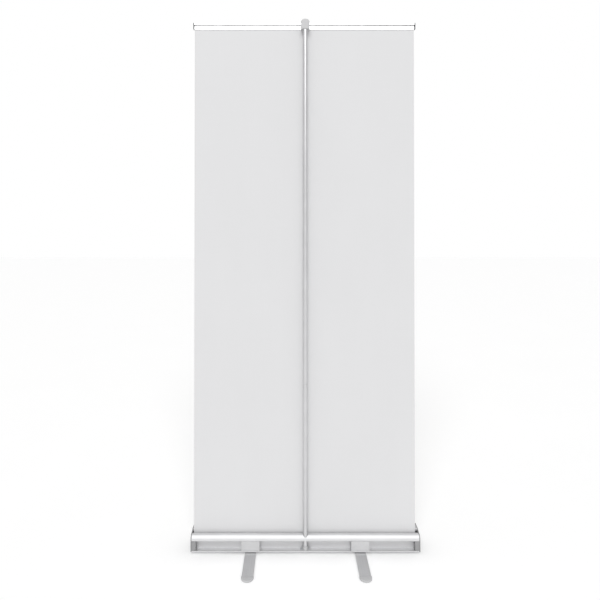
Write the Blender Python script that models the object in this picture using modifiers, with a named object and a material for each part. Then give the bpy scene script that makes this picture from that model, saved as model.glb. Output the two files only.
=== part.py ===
"""Roll-up banner stand: cassette with a sprung roller, swivel feet, three-part pole, clamp rail and banner.

X runs along the cassette, -Y is the printed side, +Y the back with the pole, and +Z is up. The origin is on the
floor, midway between the two foot pivots. Every length is in metres.
"""

import math

import bmesh
import bpy

# ---------------------------------------------------------------- fits
GAP = 0.0003                    # left between pieces that touch
RUNNING = 0.0003                # radial clearance round a shaft that turns
MERGE = 0.00001                 # distance at which doubled vertices are one

# ---------------------------------------------------------------- overall sizes
RAIL_TOP = 2.030                # top of the clamp rail above the floor
CASING_FRONT = 0.045            # casing ahead of the foot pivots
CASING_HEIGHT = 0.068           # front shell above the casing's underside
BANNER_WIDTH = 0.850
CASING_MARGIN = 0.010           # casing past the banner's width at each end, over the end cap
BANNER_SHIFT = 0.003            # the banner hangs this far towards the spring end
BANNER_PLANE = 0.018            # y of the hanging banner
BANNER_THICK = 0.0004

# ---------------------------------------------------------------- feet
FOOT_SPACING = 0.416            # between the two pivots
FOOT_LENGTH = 0.400             # over the tips
FOOT_WIDTH = 0.041
FOOT_THICK = 0.004
TIP_SOLE = 0.0022               # moulded tip under the bar
TIP_SKIN = 0.0010               # moulded tip over the bar
TIP_SIDE = 0.0012               # moulded tip round the bar's edge
TIP_LENGTH = 0.024
WASHER_THICK = 0.0017
WASHER_RADIUS = 0.013
BOLT_RADIUS = 0.003
BOLT_HEAD_RADIUS = 0.008
BOLT_HEAD_THICK = 0.0016
NUT_RADIUS = 0.0058
NUT_THICK = 0.004

# ---------------------------------------------------------------- casing
WALL = 0.002
CAP_THICK = 0.0035
NOSE_HEIGHT = 0.0415            # lower edge of the rear shoulder above the casing's underside
NOSE_BEAD = 0.001               # rounded lower edge below that
RIDGE_HEIGHT = 0.062            # crest of the rear shoulder above the casing's underside
RIDGE_SETBACK = 0.008           # crest starts this far behind the slot's rear side
RIDGE_WIDTH = 0.0035
GROOVE_WIDTH = 0.0012
GROOVE_DEPTH = 0.0010
VALLEY_DROP = 0.0032            # slot edge below the crest
BAY_WALL = 0.0235               # y of the bay wall's front face, which is the slot's rear side
SLOT_FRONT = 0.013              # y of the slot's front side
LIP_DROP = 0.0085               # the slot's front lip hangs this far down
LIP_RADIUS = 0.0025             # rounding of the slot's front lip
SHOULDER_BACK = 0.002           # shoulder's arc is centred this far behind the crest's start
CREST_SLOPE = 0.0016            # run from the crest's start down to the slot's edge
CREST_FOOT = 0.0006             # height at which that slope meets the slot's edge
ROOF_THICK = 0.0044             # shoulder's wall at its crest
FRONT_ARCH = 0.025              # radius of the front shell's upper corner
FRONT_TOE = 0.012               # radius of its lower corner
REAR_LIP_HEIGHT = 0.005
REAR_LIP_THICK = 0.0016
PORT_RADIUS = 0.0042            # screw ports inside the front shell
PORT_BORE = 0.0018
PORT_SKIN = 0.0008              # a port's wall stays this far inside the casing's outer face
CAP_SCREW_LENGTH = 0.016
CAP_SCREW_HEAD = 0.0034
CAP_SCREW_HEAD_THICK = 0.0016
BAY_PLUG_WIDTH = 0.0155         # end cap's plug in the bay
BAY_BLOCK_WIDTH = 0.069         # filler block over each foot
ROLLER_HEIGHT = 0.0312          # roller axis above the casing's underside

# ---------------------------------------------------------------- roller
TUBE_RADIUS = 0.0175
TUBE_WALL = 0.0012
TUBE_MARGIN = 0.0035            # tube past the banner's width at each end
WRAP_THICK = 0.0008             # banner left on the tube when it is drawn out
AXLE_RADIUS = 0.004
PLUG_LENGTH = 0.024
PLUG_FLANGE = 0.001
NOSE_RADIUS = 0.0087            # part of the plug that carries the spring
NOSE_LENGTH = 0.018
ARBOR_REACH = 0.220             # spring arbor inside the cassette
ARBOR_TIP = 0.012               # arbor past its reach, inside the support bush
BUSH_LENGTH = 0.012
COLLAR_LENGTH = 0.016
SPRING_MEAN_RADIUS = 0.0105
SPRING_WIRE = 0.0009            # wire radius
SPRING_TURNS = 13
SPRING_STEPS = 10               # straight pieces in one turn

# ---------------------------------------------------------------- pole
POLE_RADIUS = 0.008
POLE_WALL = 0.0009
POLE_LOWER_TOP = 0.640
POLE_MIDDLE_TOP = 1.290
SPIGOT_LENGTH = 0.090
SPIGOT_WALL = 0.0030
CORD_RADIUS = 0.002
POLE_HOLE_CLEARANCE = 0.0012
CUP_WALL = 0.0016
CUP_MARGIN = 0.0011             # between the cup's wall and the bay's wall
SHOULDER_RIM = 0.0028           # shoulder left behind the pole's hole
CUP_BASE_WIDTH = 0.038
CUP_BASE_THICK = 0.0025
CUP_HEIGHT = 0.016
CUP_SCREW = 0.0013
CUP_SCREW_HEAD = 0.0026
CUP_SCREW_HEAD_THICK = 0.0015
PLUG_REACH = 0.030              # foot plug and head spigot inside the pole
CORD_SEAT = 0.008               # the cord's blind holes end this far from the pole's ends
PLUG_RIM = 0.003                # foot plug below the pole's lowest section
PLUG_CHAMFER = 0.001
NOTCH_WIDTH = 0.036             # dip in the shoulder's crest in front of the pole
NOTCH_TAPER = 0.45              # dip's bottom width over its top width
NOTCH_SINK = 0.0004             # dip's bottom below the slot's edge

# ---------------------------------------------------------------- clamp rail
RAIL_MARGIN = 0.0045            # rail past the banner at each end, over the end cap
RAIL_HEIGHT = 0.0245
RAIL_REAR = 0.025               # y of the hanging flange's back
RAIL_FRONT = 0.0142             # y of the top plate's front edge
RAIL_SKIN = 0.003               # top plate
WEB_THICK = 0.002
FLANGE_THICK = 0.0016
FLANGE_DROP = 0.0085            # lower edge of the flange below the rail's top
RAIL_CAP_THICK = 0.0035
HINGE_RADIUS = 0.0016           # bead that the front jaw turns on
HINGE_AHEAD = 0.0018            # bead's centre ahead of the banner's plane
HINGE_DROP = 0.0057             # bead's centre below the rail's top
JAW_FRONT = 0.0112              # y of the jaw's foremost line

# ---------------------------------------------------------------- pole head
HEAD_WIDTH = 0.033
HEAD_ABOVE = 0.008              # head above the rail
HEAD_HEIGHT = 0.040
HEAD_CORNER = 0.006
HEAD_CROWN = 0.0145
HOOK_WIDTH = 0.024
HOOK_ROOT = 0.003               # bridge into the head's body
HOOK_LIP = 0.004                # lip below the rail's flange
SPIGOT_ROOT = 0.006             # head's spigot into its body

# ---------------------------------------------------------------- worked out from the above
CASING_LENGTH = BANNER_WIDTH + 2 * CASING_MARGIN
TUBE_LENGTH = BANNER_WIDTH + 2 * TUBE_MARGIN
RAIL_LENGTH = BANNER_WIDTH + 2 * RAIL_MARGIN
FOOT_BOTTOM = TIP_SOLE + GAP
FOOT_TOP = FOOT_BOTTOM + FOOT_THICK
CASING_BOTTOM = FOOT_TOP + WASHER_THICK + 2 * GAP
FLOOR_TOP = CASING_BOTTOM + WALL
CASING_TOP = CASING_BOTTOM + CASING_HEIGHT
NOSE_Z = CASING_BOTTOM + NOSE_HEIGHT
RIDGE_Z = CASING_BOTTOM + RIDGE_HEIGHT
VALLEY_Z = RIDGE_Z - VALLEY_DROP
BAY_FACE = BAY_WALL + WALL
RIDGE_FRONT = BAY_WALL + RIDGE_SETBACK
CUP_OUTER = POLE_RADIUS + GAP + CUP_WALL
POLE_PLANE = BAY_FACE + CUP_MARGIN + CUP_OUTER
POLE_HOLE = POLE_RADIUS + POLE_HOLE_CLEARANCE
CASING_REAR = POLE_PLANE + POLE_HOLE + SHOULDER_RIM
ARCH_Y = FRONT_ARCH - CASING_FRONT
ARCH_Z = CASING_TOP - FRONT_ARCH
TOE_Y = FRONT_TOE - CASING_FRONT
TOE_Z = CASING_BOTTOM + FRONT_TOE
CASING_END = CASING_LENGTH / 2 - CAP_THICK - GAP
CAP_SCREW = PORT_BORE - GAP
CAP_INSIDE = CASING_LENGTH / 2 - CAP_THICK
ROLLER_Z = CASING_BOTTOM + ROLLER_HEIGHT
WRAP_INNER = TUBE_RADIUS + GAP
WRAP_RADIUS = WRAP_INNER + WRAP_THICK
ROLLER_Y = BANNER_PLANE - BANNER_THICK / 2 - GAP - WRAP_RADIUS
TUBE_BORE = TUBE_RADIUS - TUBE_WALL
TUBE_END = TUBE_LENGTH / 2
POLE_BORE = POLE_RADIUS - POLE_WALL
CUP_BOTTOM = FLOOR_TOP + GAP
PLUG_FOOT = CUP_BOTTOM + CUP_BASE_THICK / 2
POLE_FOOT = PLUG_FOOT + PLUG_RIM
RAIL_BOTTOM = RAIL_TOP - RAIL_HEIGHT
WEB_FRONT = BANNER_PLANE + BANNER_THICK / 2 + GAP
WEB_BACK = WEB_FRONT + WEB_THICK
FLANGE_FRONT = RAIL_REAR - FLANGE_THICK
FLANGE_Z = RAIL_TOP - FLANGE_DROP
HINGE_Y = BANNER_PLANE - HINGE_AHEAD
HINGE_Z = RAIL_TOP - HINGE_DROP
HEAD_TOP = RAIL_TOP + HEAD_ABOVE
HEAD_BOTTOM = HEAD_TOP - HEAD_HEIGHT
POLE_TOP = HEAD_BOTTOM - GAP
RAIL_END = RAIL_LENGTH / 2 - RAIL_CAP_THICK - GAP


# ================================================================ scene and materials
def clear_scene():
    for thing in list(bpy.data.objects):
        bpy.data.objects.remove(thing)


def collection(name):
    made = bpy.data.collections.new(name)
    bpy.context.scene.collection.children.link(made)
    return made


def material(name, grey, roughness, metallic):
    made = bpy.data.materials.new(name)
    made.use_nodes = True
    shader = made.node_tree.nodes["Principled BSDF"]
    shader.inputs["Base Color"].default_value = (*grey, 1)
    shader.inputs["Roughness"].default_value = roughness
    shader.inputs["Metallic"].default_value = metallic
    return made


clear_scene()
STAND = collection("roll_up_banner_stand")
CUTTERS = collection("cutters")

ALUMINIUM = ("anodised_aluminium", (0.62, 0.62, 0.63), 0.35, 1.0)
STEEL = ("zinc_steel", (0.55, 0.55, 0.56), 0.30, 1.0)
PLASTIC = ("grey_plastic", (0.42, 0.42, 0.43), 0.50, 0.0)
DARK_PLASTIC = ("dark_plastic", (0.06, 0.06, 0.06), 0.50, 0.0)
FILM = ("banner_film", (0.78, 0.78, 0.78), 0.60, 0.0)
RUBBER = ("black_elastic", (0.03, 0.03, 0.03), 0.80, 0.0)


def finish(part, look):
    """Give a piece its own material and put it in the stand's collection."""
    name, grey, roughness, metallic = look
    part.data.materials.clear()
    part.data.materials.append(material(f"{part.name}_{name}", grey, roughness, metallic))
    STAND.objects.link(part)
    return part


# ================================================================ modelling helpers
def arc(centre, radii, start, stop, count):
    """Points of an elliptical arc, angles in degrees."""
    points = []
    for step in range(count + 1):
        angle = math.radians(start + (stop - start) * step / count)
        points.append((centre[0] + radii[0] * math.cos(angle), centre[1] + radii[1] * math.sin(angle)))
    return points


def circle(centre, radius, count=24):
    return arc(centre, (radius, radius), 0, 360 - 360 / count, count - 1)


# How an outline's two axes and its thickness lie: along X, along Y or along Z.
ALONG = {"X": (math.pi / 2, 0, math.pi / 2), "Y": (math.pi / 2, 0, 0), "Z": (0, 0, 0)}


def extrusion(name, outlines, low, high, along):
    """Fill flat outlines and run them from low to high along one axis.

    The outlines are (y, z) along X, (x, z) along Y and (x, y) along Z.
    """
    curve = bpy.data.curves.new(name, "CURVE")
    curve.dimensions = "2D"
    curve.fill_mode = "BOTH"
    curve.extrude = (high - low) / 2
    for outline in outlines:
        spline = curve.splines.new("POLY")
        spline.points.add(len(outline) - 1)
        for point, place in zip(spline.points, outline):
            point.co = (place[0], place[1], 0, 1)
        spline.use_cyclic_u = True
    flat = bpy.data.objects.new(name + "_outline", curve)
    bpy.context.scene.collection.objects.link(flat)
    flat.rotation_euler = ALONG[along]
    flat.location["XYZ".index(along)] = (low + high) / 2
    return as_mesh(flat, name)


def as_mesh(flat, name):
    """Turn a curve into a welded mesh object that stands where the curve stood."""
    bpy.context.view_layer.update()
    graph = bpy.context.evaluated_depsgraph_get()
    mesh = bpy.data.meshes.new_from_object(flat.evaluated_get(graph))
    mesh.name = name
    shell = bmesh.new()
    shell.from_mesh(mesh)
    bmesh.ops.remove_doubles(shell, verts=shell.verts, dist=MERGE)
    bmesh.ops.recalc_face_normals(shell, faces=shell.faces)
    shell.to_mesh(mesh)
    shell.free()
    solid = bpy.data.objects.new(name, mesh)
    solid.matrix_world = flat.matrix_world.copy()
    bpy.data.objects.remove(flat)
    return solid


def block(name, low, high):
    """A box between two corners."""
    mesh = bpy.data.meshes.new(name)
    shell = bmesh.new()
    bmesh.ops.create_cube(shell, size=1)
    for vertex in shell.verts:
        for axis in range(3):
            vertex.co[axis] = (vertex.co[axis]) * (high[axis] - low[axis])
    shell.to_mesh(mesh)
    shell.free()
    solid = bpy.data.objects.new(name, mesh)
    solid.location = [(low[axis] + high[axis]) / 2 for axis in range(3)]
    return solid


# How a turned piece's own axis is laid along X, or left upright.
LAID = {"X": (0, math.pi / 2, 0), "Z": (0, 0, 0)}


def turned(name, profile, place, along="Z", steps=32):
    """Turn a closed (radius, height) profile, listed from top to bottom on its outside."""
    mesh = bpy.data.meshes.new(name)
    vertices = [(radius, 0, height) for radius, height in profile]
    around = [(index, (index + 1) % len(profile)) for index in range(len(profile))]
    edges = [(one, two) for one, two in around if profile[one][0] or profile[two][0]]
    mesh.from_pydata(vertices, edges, [])
    solid = bpy.data.objects.new(name, mesh)
    solid.location = place
    solid.rotation_euler = LAID[along]
    screw = solid.modifiers.new("turn", "SCREW")
    screw.axis = "Z"
    screw.steps = steps
    screw.render_steps = steps
    screw.use_merge_vertices = True
    screw.merge_threshold = MERGE
    screw.use_smooth_shade = True
    return solid


def pipe(name, outer, inner, low, high, place, along="Z", steps=32):
    """A round pipe from low to high on its own axis."""
    profile = [(outer, high), (outer, low), (inner, low), (inner, high)]
    return turned(name, profile, place, along, steps)


def rod(name, radius, low, high, place, along="Z", steps=32):
    """A solid round bar from low to high on its own axis."""
    return turned(name, [(0, high), (radius, high), (radius, low), (0, low)], place, along, steps)


def tool(shape):
    """Keep a shape as a hidden cutter."""
    shape.hide_render = True
    shape.display_type = "WIRE"
    CUTTERS.objects.link(shape)
    return shape


def boolean(part, shape, operation):
    tool(shape)
    change = part.modifiers.new(shape.name, "BOOLEAN")
    change.operation = operation
    change.solver = "EXACT"
    change.object = shape
    return part


def cut(part, shape):
    return boolean(part, shape, "DIFFERENCE")


def join(part, shape):
    return boolean(part, shape, "UNION")


def soften(part, width, segments=2, angle=40):
    bevel = part.modifiers.new("edges", "BEVEL")
    bevel.width = width
    bevel.segments = segments
    bevel.limit_method = "ANGLE"
    bevel.angle_limit = math.radians(angle)
    return part


# ================================================================ cassette
def front_shell_outside():
    """The casing's front, from the slot's lip down to the underside."""
    lip = arc((SLOT_FRONT - LIP_RADIUS, CASING_TOP - LIP_RADIUS), (LIP_RADIUS, LIP_RADIUS), 0, 90, 3)
    arch = arc((ARCH_Y, ARCH_Z), (FRONT_ARCH, FRONT_ARCH), 90, 180, 8)
    toe = arc((TOE_Y, TOE_Z), (FRONT_TOE, FRONT_TOE), 180, 270, 5)
    return lip + arch + toe


def front_shell_inside():
    """The inner side of the front, from the floor up to the slot's lip."""
    toe = arc((TOE_Y, TOE_Z), (FRONT_TOE - WALL, FRONT_TOE - WALL), 270, 180, 5)
    arch = arc((ARCH_Y, ARCH_Z), (FRONT_ARCH - WALL, FRONT_ARCH - WALL), 180, 90, 8)
    lip = [
        (SLOT_FRONT - WALL, CASING_TOP - WALL),
        (SLOT_FRONT - WALL, CASING_TOP - LIP_DROP),
        (SLOT_FRONT, CASING_TOP - LIP_DROP),
    ]
    return toe + arch + lip


def shoulder_outside():
    """The rear shoulder's outer line, from its lower edge up to the crest and down to the slot."""
    ridge_rear = RIDGE_FRONT + RIDGE_WIDTH
    centre_y = RIDGE_FRONT + SHOULDER_BACK
    radii = (CASING_REAR - centre_y, RIDGE_Z - NOSE_Z)
    groove_end = ridge_rear + GROOVE_WIDTH
    start = math.degrees(math.acos((groove_end - centre_y) / radii[0]))
    curve = arc((centre_y, NOSE_Z), radii, 0, start, 9)
    groove = [
        (groove_end - GROOVE_WIDTH / 3, RIDGE_Z - GROOVE_DEPTH),
        (ridge_rear + GROOVE_WIDTH / 3, RIDGE_Z - GROOVE_DEPTH),
    ]
    crest = [(ridge_rear, RIDGE_Z), (RIDGE_FRONT, RIDGE_Z)]
    valley = [(RIDGE_FRONT - CREST_SLOPE, VALLEY_Z + CREST_FOOT), (BAY_WALL, VALLEY_Z)]
    return curve + groove + crest + valley


def shoulder_inside():
    """The underside of the shoulder, from the bay wall out to its lower edge."""
    centre_y = RIDGE_FRONT + SHOULDER_BACK
    radii = (CASING_REAR - WALL - centre_y, RIDGE_Z - NOSE_Z - ROOF_THICK)
    start = math.degrees(math.acos((BAY_FACE - centre_y) / radii[0]))
    return arc((centre_y, NOSE_Z), radii, start, 0, 9)


def casing_outline():
    bay = [
        (CASING_REAR, CASING_BOTTOM),
        (CASING_REAR, CASING_BOTTOM + REAR_LIP_HEIGHT),
        (CASING_REAR - REAR_LIP_THICK, CASING_BOTTOM + REAR_LIP_HEIGHT),
        (CASING_REAR - REAR_LIP_THICK, FLOOR_TOP),
        (BAY_FACE, FLOOR_TOP),
    ]
    bead = [(CASING_REAR - WALL / 2, NOSE_Z - NOSE_BEAD)]
    chamber = [(BAY_WALL, FLOOR_TOP)]
    behind = bay + shoulder_inside() + bead + shoulder_outside() + chamber
    return behind + front_shell_inside() + front_shell_outside()


def port_places():
    """Centres of the screw ports: one in the upper corner and one in the lower corner of the front shell."""
    reach = FRONT_ARCH - PORT_RADIUS - PORT_SKIN
    high = (ARCH_Y - reach * math.cos(math.radians(45)), ARCH_Z + reach * math.sin(math.radians(45)))
    low_reach = FRONT_TOE - PORT_RADIUS - PORT_SKIN
    low = (TOE_Y - low_reach * math.cos(math.radians(45)), TOE_Z - low_reach * math.sin(math.radians(45)))
    return {"upper": high, "lower": low}


def make_casing():
    casing = extrusion("casing_extrusion", [casing_outline()], -CASING_END, CASING_END, "X")
    for level, (y, z) in port_places().items():
        port = rod(f"port_{level}", PORT_RADIUS, -CASING_END + GAP, CASING_END - GAP, (0, y, z), "X", 16)
        join(casing, port)
    for level, (y, z) in port_places().items():
        bore = rod(f"port_bore_{level}", PORT_BORE, -CASING_LENGTH, CASING_LENGTH, (0, y, z), "X", 12)
        cut(casing, bore)
    for side, x in foot_places().items():
        hole = rod(f"bolt_hole_{side}", BOLT_RADIUS + GAP, 0, FLOOR_TOP + WALL, (x, 0, 0), "Z", 20)
        cut(casing, hole)
    for side, x in cup_screw_places().items():
        hole = rod(f"cup_screw_hole_{side}", CUP_SCREW + GAP, 0, FLOOR_TOP + WALL, (x, POLE_PLANE, 0), "Z", 12)
        cut(casing, hole)
    pole_hole = rod("pole_hole", POLE_HOLE, NOSE_Z - WALL, CASING_TOP + WALL, (0, POLE_PLANE, 0), "Z", 32)
    cut(casing, pole_hole)
    half = NOTCH_WIDTH / 2
    foot = half * NOTCH_TAPER
    dip_low = VALLEY_Z - NOTCH_SINK
    notch = [(-half, RIDGE_Z + WALL), (-foot, dip_low), (foot, dip_low), (half, RIDGE_Z + WALL)]
    dip = extrusion("crest_dip", [notch], BAY_WALL + WALL, POLE_PLANE, "Y")
    cut(casing, dip)
    finish(casing, ALUMINIUM)


def make_end_cap(side, sign):
    """A moulded end plate with a plug in the bay and a socket for the roller's pin."""
    crest_rear = shoulder_outside()[:10]
    outline = [(CASING_REAR, CASING_BOTTOM)] + crest_rear + [(RIDGE_FRONT, RIDGE_Z)] + front_shell_outside()
    low, high = sorted((sign * CAP_INSIDE, sign * CASING_LENGTH / 2))
    cap = extrusion(f"end_cap_{side}", [outline], low, high, "X")
    low, high = sorted((sign * (CAP_INSIDE - BAY_PLUG_WIDTH), sign * (CAP_INSIDE + CAP_THICK / 2)))
    plug = block(
        f"bay_plug_{side}",
        (low, BAY_FACE + GAP, FLOOR_TOP + GAP),
        (high, CASING_REAR - REAR_LIP_THICK - GAP, NOSE_Z - WALL),
    )
    join(cap, plug)
    depth = CAP_INSIDE + CAP_THICK * 0.6
    low, high = sorted((sign * (CAP_INSIDE - CAP_THICK), sign * depth))
    socket = rod(f"pin_socket_{side}", AXLE_RADIUS + GAP, low, high, (0, ROLLER_Y, ROLLER_Z), "X", 24)
    cut(cap, socket)
    low, high = sorted((sign * (CAP_INSIDE - CAP_THICK), sign * (CASING_LENGTH / 2 + CAP_THICK)))
    for level, (y, z) in port_places().items():
        hole = rod(f"cap_screw_hole_{side}_{level}", CAP_SCREW + GAP, low, high, (0, y, z), "X", 16)
        cut(cap, hole)
    finish(cap, PLASTIC)


def make_end_cap_screws(side, sign):
    """Two pan-head screws that hold one end cap on the casing's ports."""
    outside = CASING_LENGTH / 2 + GAP
    inside = CASING_LENGTH / 2 - CAP_SCREW_LENGTH
    top = outside + CAP_SCREW_HEAD_THICK
    profile = [
        (0, sign * top),
        (CAP_SCREW_HEAD * 0.75, sign * top),
        (CAP_SCREW_HEAD, sign * (outside + CAP_SCREW_HEAD_THICK / 2)),
        (CAP_SCREW_HEAD, sign * outside),
        (CAP_SCREW, sign * outside),
        (CAP_SCREW, sign * inside),
        (0, sign * inside),
    ]
    if sign < 0:
        profile.reverse()
    for level, (y, z) in port_places().items():
        finish(turned(f"end_cap_screw_{side}_{level}", profile, (0, y, z), "X", 16), STEEL)


def make_bay_block(side, x):
    """A moulded filler in the bay over one foot, flush with the casing's back."""
    half = BAY_BLOCK_WIDTH / 2
    filler = block(
        f"bay_block_{side}",
        (x - half, BAY_FACE + GAP, FLOOR_TOP + GAP),
        (x + half, CASING_REAR - REAR_LIP_THICK - GAP, NOSE_Z - NOSE_BEAD - GAP),
    )
    face = block(
        f"bay_block_face_{side}",
        (x - half, CASING_REAR - REAR_LIP_THICK - 0.002, CASING_BOTTOM + REAR_LIP_HEIGHT + GAP),
        (x + half, CASING_REAR - GAP, NOSE_Z - NOSE_BEAD - GAP),
    )
    join(filler, face)
    soften(filler, 0.0006, 1)
    finish(filler, PLASTIC)


# ================================================================ roller and its spring
def make_roller():
    axis = (0, ROLLER_Y, ROLLER_Z)
    finish(pipe("roller_tube", TUBE_RADIUS, TUBE_BORE, -TUBE_END, TUBE_END, axis, "X", 40), ALUMINIUM)
    low = BANNER_SHIFT - BANNER_WIDTH / 2
    high = BANNER_SHIFT + BANNER_WIDTH / 2
    finish(pipe("wound_banner", WRAP_RADIUS, WRAP_INNER, low, high, axis, "X", 40), FILM)
    make_idle_plug(axis)
    make_spring_plug(axis)
    bush_high = CAP_INSIDE - ARBOR_REACH + COLLAR_LENGTH / 2 - GAP
    bush_low = bush_high - BUSH_LENGTH
    bore = AXLE_RADIUS + RUNNING
    bush = pipe("arbor_support_bush", TUBE_BORE - GAP, bore, bush_low, bush_high, axis, "X", 32)
    finish(bush, PLASTIC)


def make_idle_plug(axis):
    """Plug in the tube's idle end that turns on the idle axle."""
    body = TUBE_BORE - GAP
    bore = AXLE_RADIUS + RUNNING
    face = -TUBE_END - GAP
    profile = [
        (body, face + PLUG_LENGTH),
        (body, face),
        (TUBE_RADIUS, face),
        (TUBE_RADIUS, face - PLUG_FLANGE),
        (bore, face - PLUG_FLANGE),
        (bore, face + PLUG_LENGTH),
    ]
    finish(turned("roller_plug_idle", profile, axis, "X", 32), PLASTIC)


def make_spring_plug(axis):
    """Plug in the tube's spring end: it turns on the arbor, and its nose drives the spring."""
    body = TUBE_BORE - GAP
    bore = AXLE_RADIUS + RUNNING
    face = TUBE_END + GAP
    profile = [
        (TUBE_RADIUS, face + PLUG_FLANGE),
        (TUBE_RADIUS, face),
        (body, face),
        (body, face - PLUG_LENGTH),
        (NOSE_RADIUS, face - PLUG_LENGTH),
        (NOSE_RADIUS, face - PLUG_LENGTH - NOSE_LENGTH),
        (bore, face - PLUG_LENGTH - NOSE_LENGTH),
        (bore, face + PLUG_FLANGE),
    ]
    finish(turned("roller_plug_spring", profile, axis, "X", 32), PLASTIC)


def make_roller_pins():
    axis = (0, ROLLER_Y, ROLLER_Z)
    end = CAP_INSIDE + CAP_THICK * 0.6 - GAP
    inner = TUBE_END - PLUG_LENGTH
    finish(rod("idle_axle", AXLE_RADIUS, -end, -inner, axis, "X", 24), STEEL)
    arbor_tip = CAP_INSIDE - ARBOR_REACH - ARBOR_TIP
    finish(rod("spring_arbor", AXLE_RADIUS, arbor_tip, end, axis, "X", 24), STEEL)
    start = CAP_INSIDE - ARBOR_REACH + COLLAR_LENGTH / 2
    collar = pipe("spring_collar", NOSE_RADIUS, AXLE_RADIUS + GAP, start, start + COLLAR_LENGTH, axis, "X", 24)
    finish(collar, STEEL)
    make_spring(start + GAP, TUBE_END - PLUG_LENGTH - GAP)


def make_spring(low, high):
    """Torsion spring between the collar and the plug's nose, wound on the roller's axis."""
    low += SPRING_WIRE
    high -= SPRING_WIRE
    curve = bpy.data.curves.new("torsion_spring", "CURVE")
    curve.dimensions = "3D"
    curve.bevel_depth = SPRING_WIRE
    curve.bevel_resolution = 2
    curve.use_fill_caps = True
    count = SPRING_TURNS * SPRING_STEPS
    spline = curve.splines.new("POLY")
    spline.points.add(count)
    for step, point in enumerate(spline.points):
        angle = 2 * math.pi * step / SPRING_STEPS
        x = low + (high - low) * step / count
        y = ROLLER_Y + SPRING_MEAN_RADIUS * math.cos(angle)
        z = ROLLER_Z + SPRING_MEAN_RADIUS * math.sin(angle)
        point.co = (x, y, z, 1)
    flat = bpy.data.objects.new("torsion_spring_line", curve)
    bpy.context.scene.collection.objects.link(flat)
    finish(as_mesh(flat, "torsion_spring"), STEEL)


# ================================================================ feet
def foot_places():
    return {"left": FOOT_SPACING / 2, "right": -FOOT_SPACING / 2}


def foot_outline(x, length, width):
    """A bar with round ends that lies along Y, centred on its pivot."""
    radius = width / 2
    straight = length / 2 - radius
    rear = arc((x, straight), (radius, radius), 0, 180, 14)
    front = arc((x, -straight), (radius, radius), 180, 360, 14)
    return rear + front


def make_foot(side, x):
    wrap = TIP_SIDE + GAP
    hole = circle((x, 0), BOLT_RADIUS + GAP)
    outline = foot_outline(x, FOOT_LENGTH - 2 * wrap, FOOT_WIDTH)
    bar = extrusion(f"foot_bar_{side}", [outline, hole], FOOT_BOTTOM, FOOT_TOP, "Z")
    finish(bar, ALUMINIUM)
    for end, sign in (("rear", 1), ("front", -1)):
        make_foot_tip(side, x, end, sign)


def make_foot_tip(side, x, end, sign):
    """A moulded shoe pushed over one end of the foot's bar; its sole stands on the floor."""
    radius = FOOT_WIDTH / 2 + TIP_SIDE + GAP
    straight = FOOT_LENGTH / 2 - radius
    inner = FOOT_LENGTH / 2 - TIP_LENGTH
    if sign > 0:
        outline = arc((x, straight), (radius, radius), 0, 180, 14) + [(x - radius, inner), (x + radius, inner)]
    else:
        outline = arc((x, -straight), (radius, radius), 180, 360, 14)
        outline += [(x + radius, -inner), (x - radius, -inner)]
    top = FOOT_TOP + GAP + TIP_SKIN
    shoe = extrusion(f"foot_tip_{side}_{end}", [outline], 0, top, "Z")
    soften(shoe, 0.0007, 1, 60)
    pocket_outline = foot_outline(x, FOOT_LENGTH - 2 * TIP_SIDE, FOOT_WIDTH + 2 * GAP)
    pocket = extrusion(f"tip_pocket_{side}_{end}", [pocket_outline], FOOT_BOTTOM - GAP, FOOT_TOP + GAP, "Z")
    cut(shoe, pocket)
    finish(shoe, PLASTIC)


def make_foot_pivot(side, x):
    """Bolt, washer and nut that hold one foot under the casing."""
    head_bottom = FOOT_BOTTOM - GAP - BOLT_HEAD_THICK
    nut_bottom = FLOOR_TOP + GAP
    nut_top = nut_bottom + NUT_THICK
    profile = [
        (0, nut_top + GAP),
        (BOLT_RADIUS, nut_top + GAP),
        (BOLT_RADIUS, FOOT_BOTTOM - GAP),
        (BOLT_HEAD_RADIUS, FOOT_BOTTOM - GAP),
        (BOLT_HEAD_RADIUS * 0.9, head_bottom),
        (0, head_bottom),
    ]
    finish(turned(f"foot_bolt_{side}", profile, (x, 0, 0), "Z", 24), STEEL)
    low = FOOT_TOP + GAP
    high = low + WASHER_THICK
    washer = pipe(f"foot_washer_{side}", WASHER_RADIUS, BOLT_RADIUS + GAP, low, high, (x, 0, 0), "Z", 28)
    finish(washer, PLASTIC)
    nut = extrusion(
        f"foot_nut_{side}",
        [circle((x, 0), NUT_RADIUS, 6), circle((x, 0), BOLT_RADIUS + GAP, 20)],
        nut_bottom,
        nut_top,
        "Z",
    )
    finish(nut, STEEL)


# ================================================================ pole
def cup_screw_places():
    offset = (CUP_OUTER + CUP_BASE_WIDTH / 2) / 2
    return {"left": offset, "right": -offset}


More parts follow.
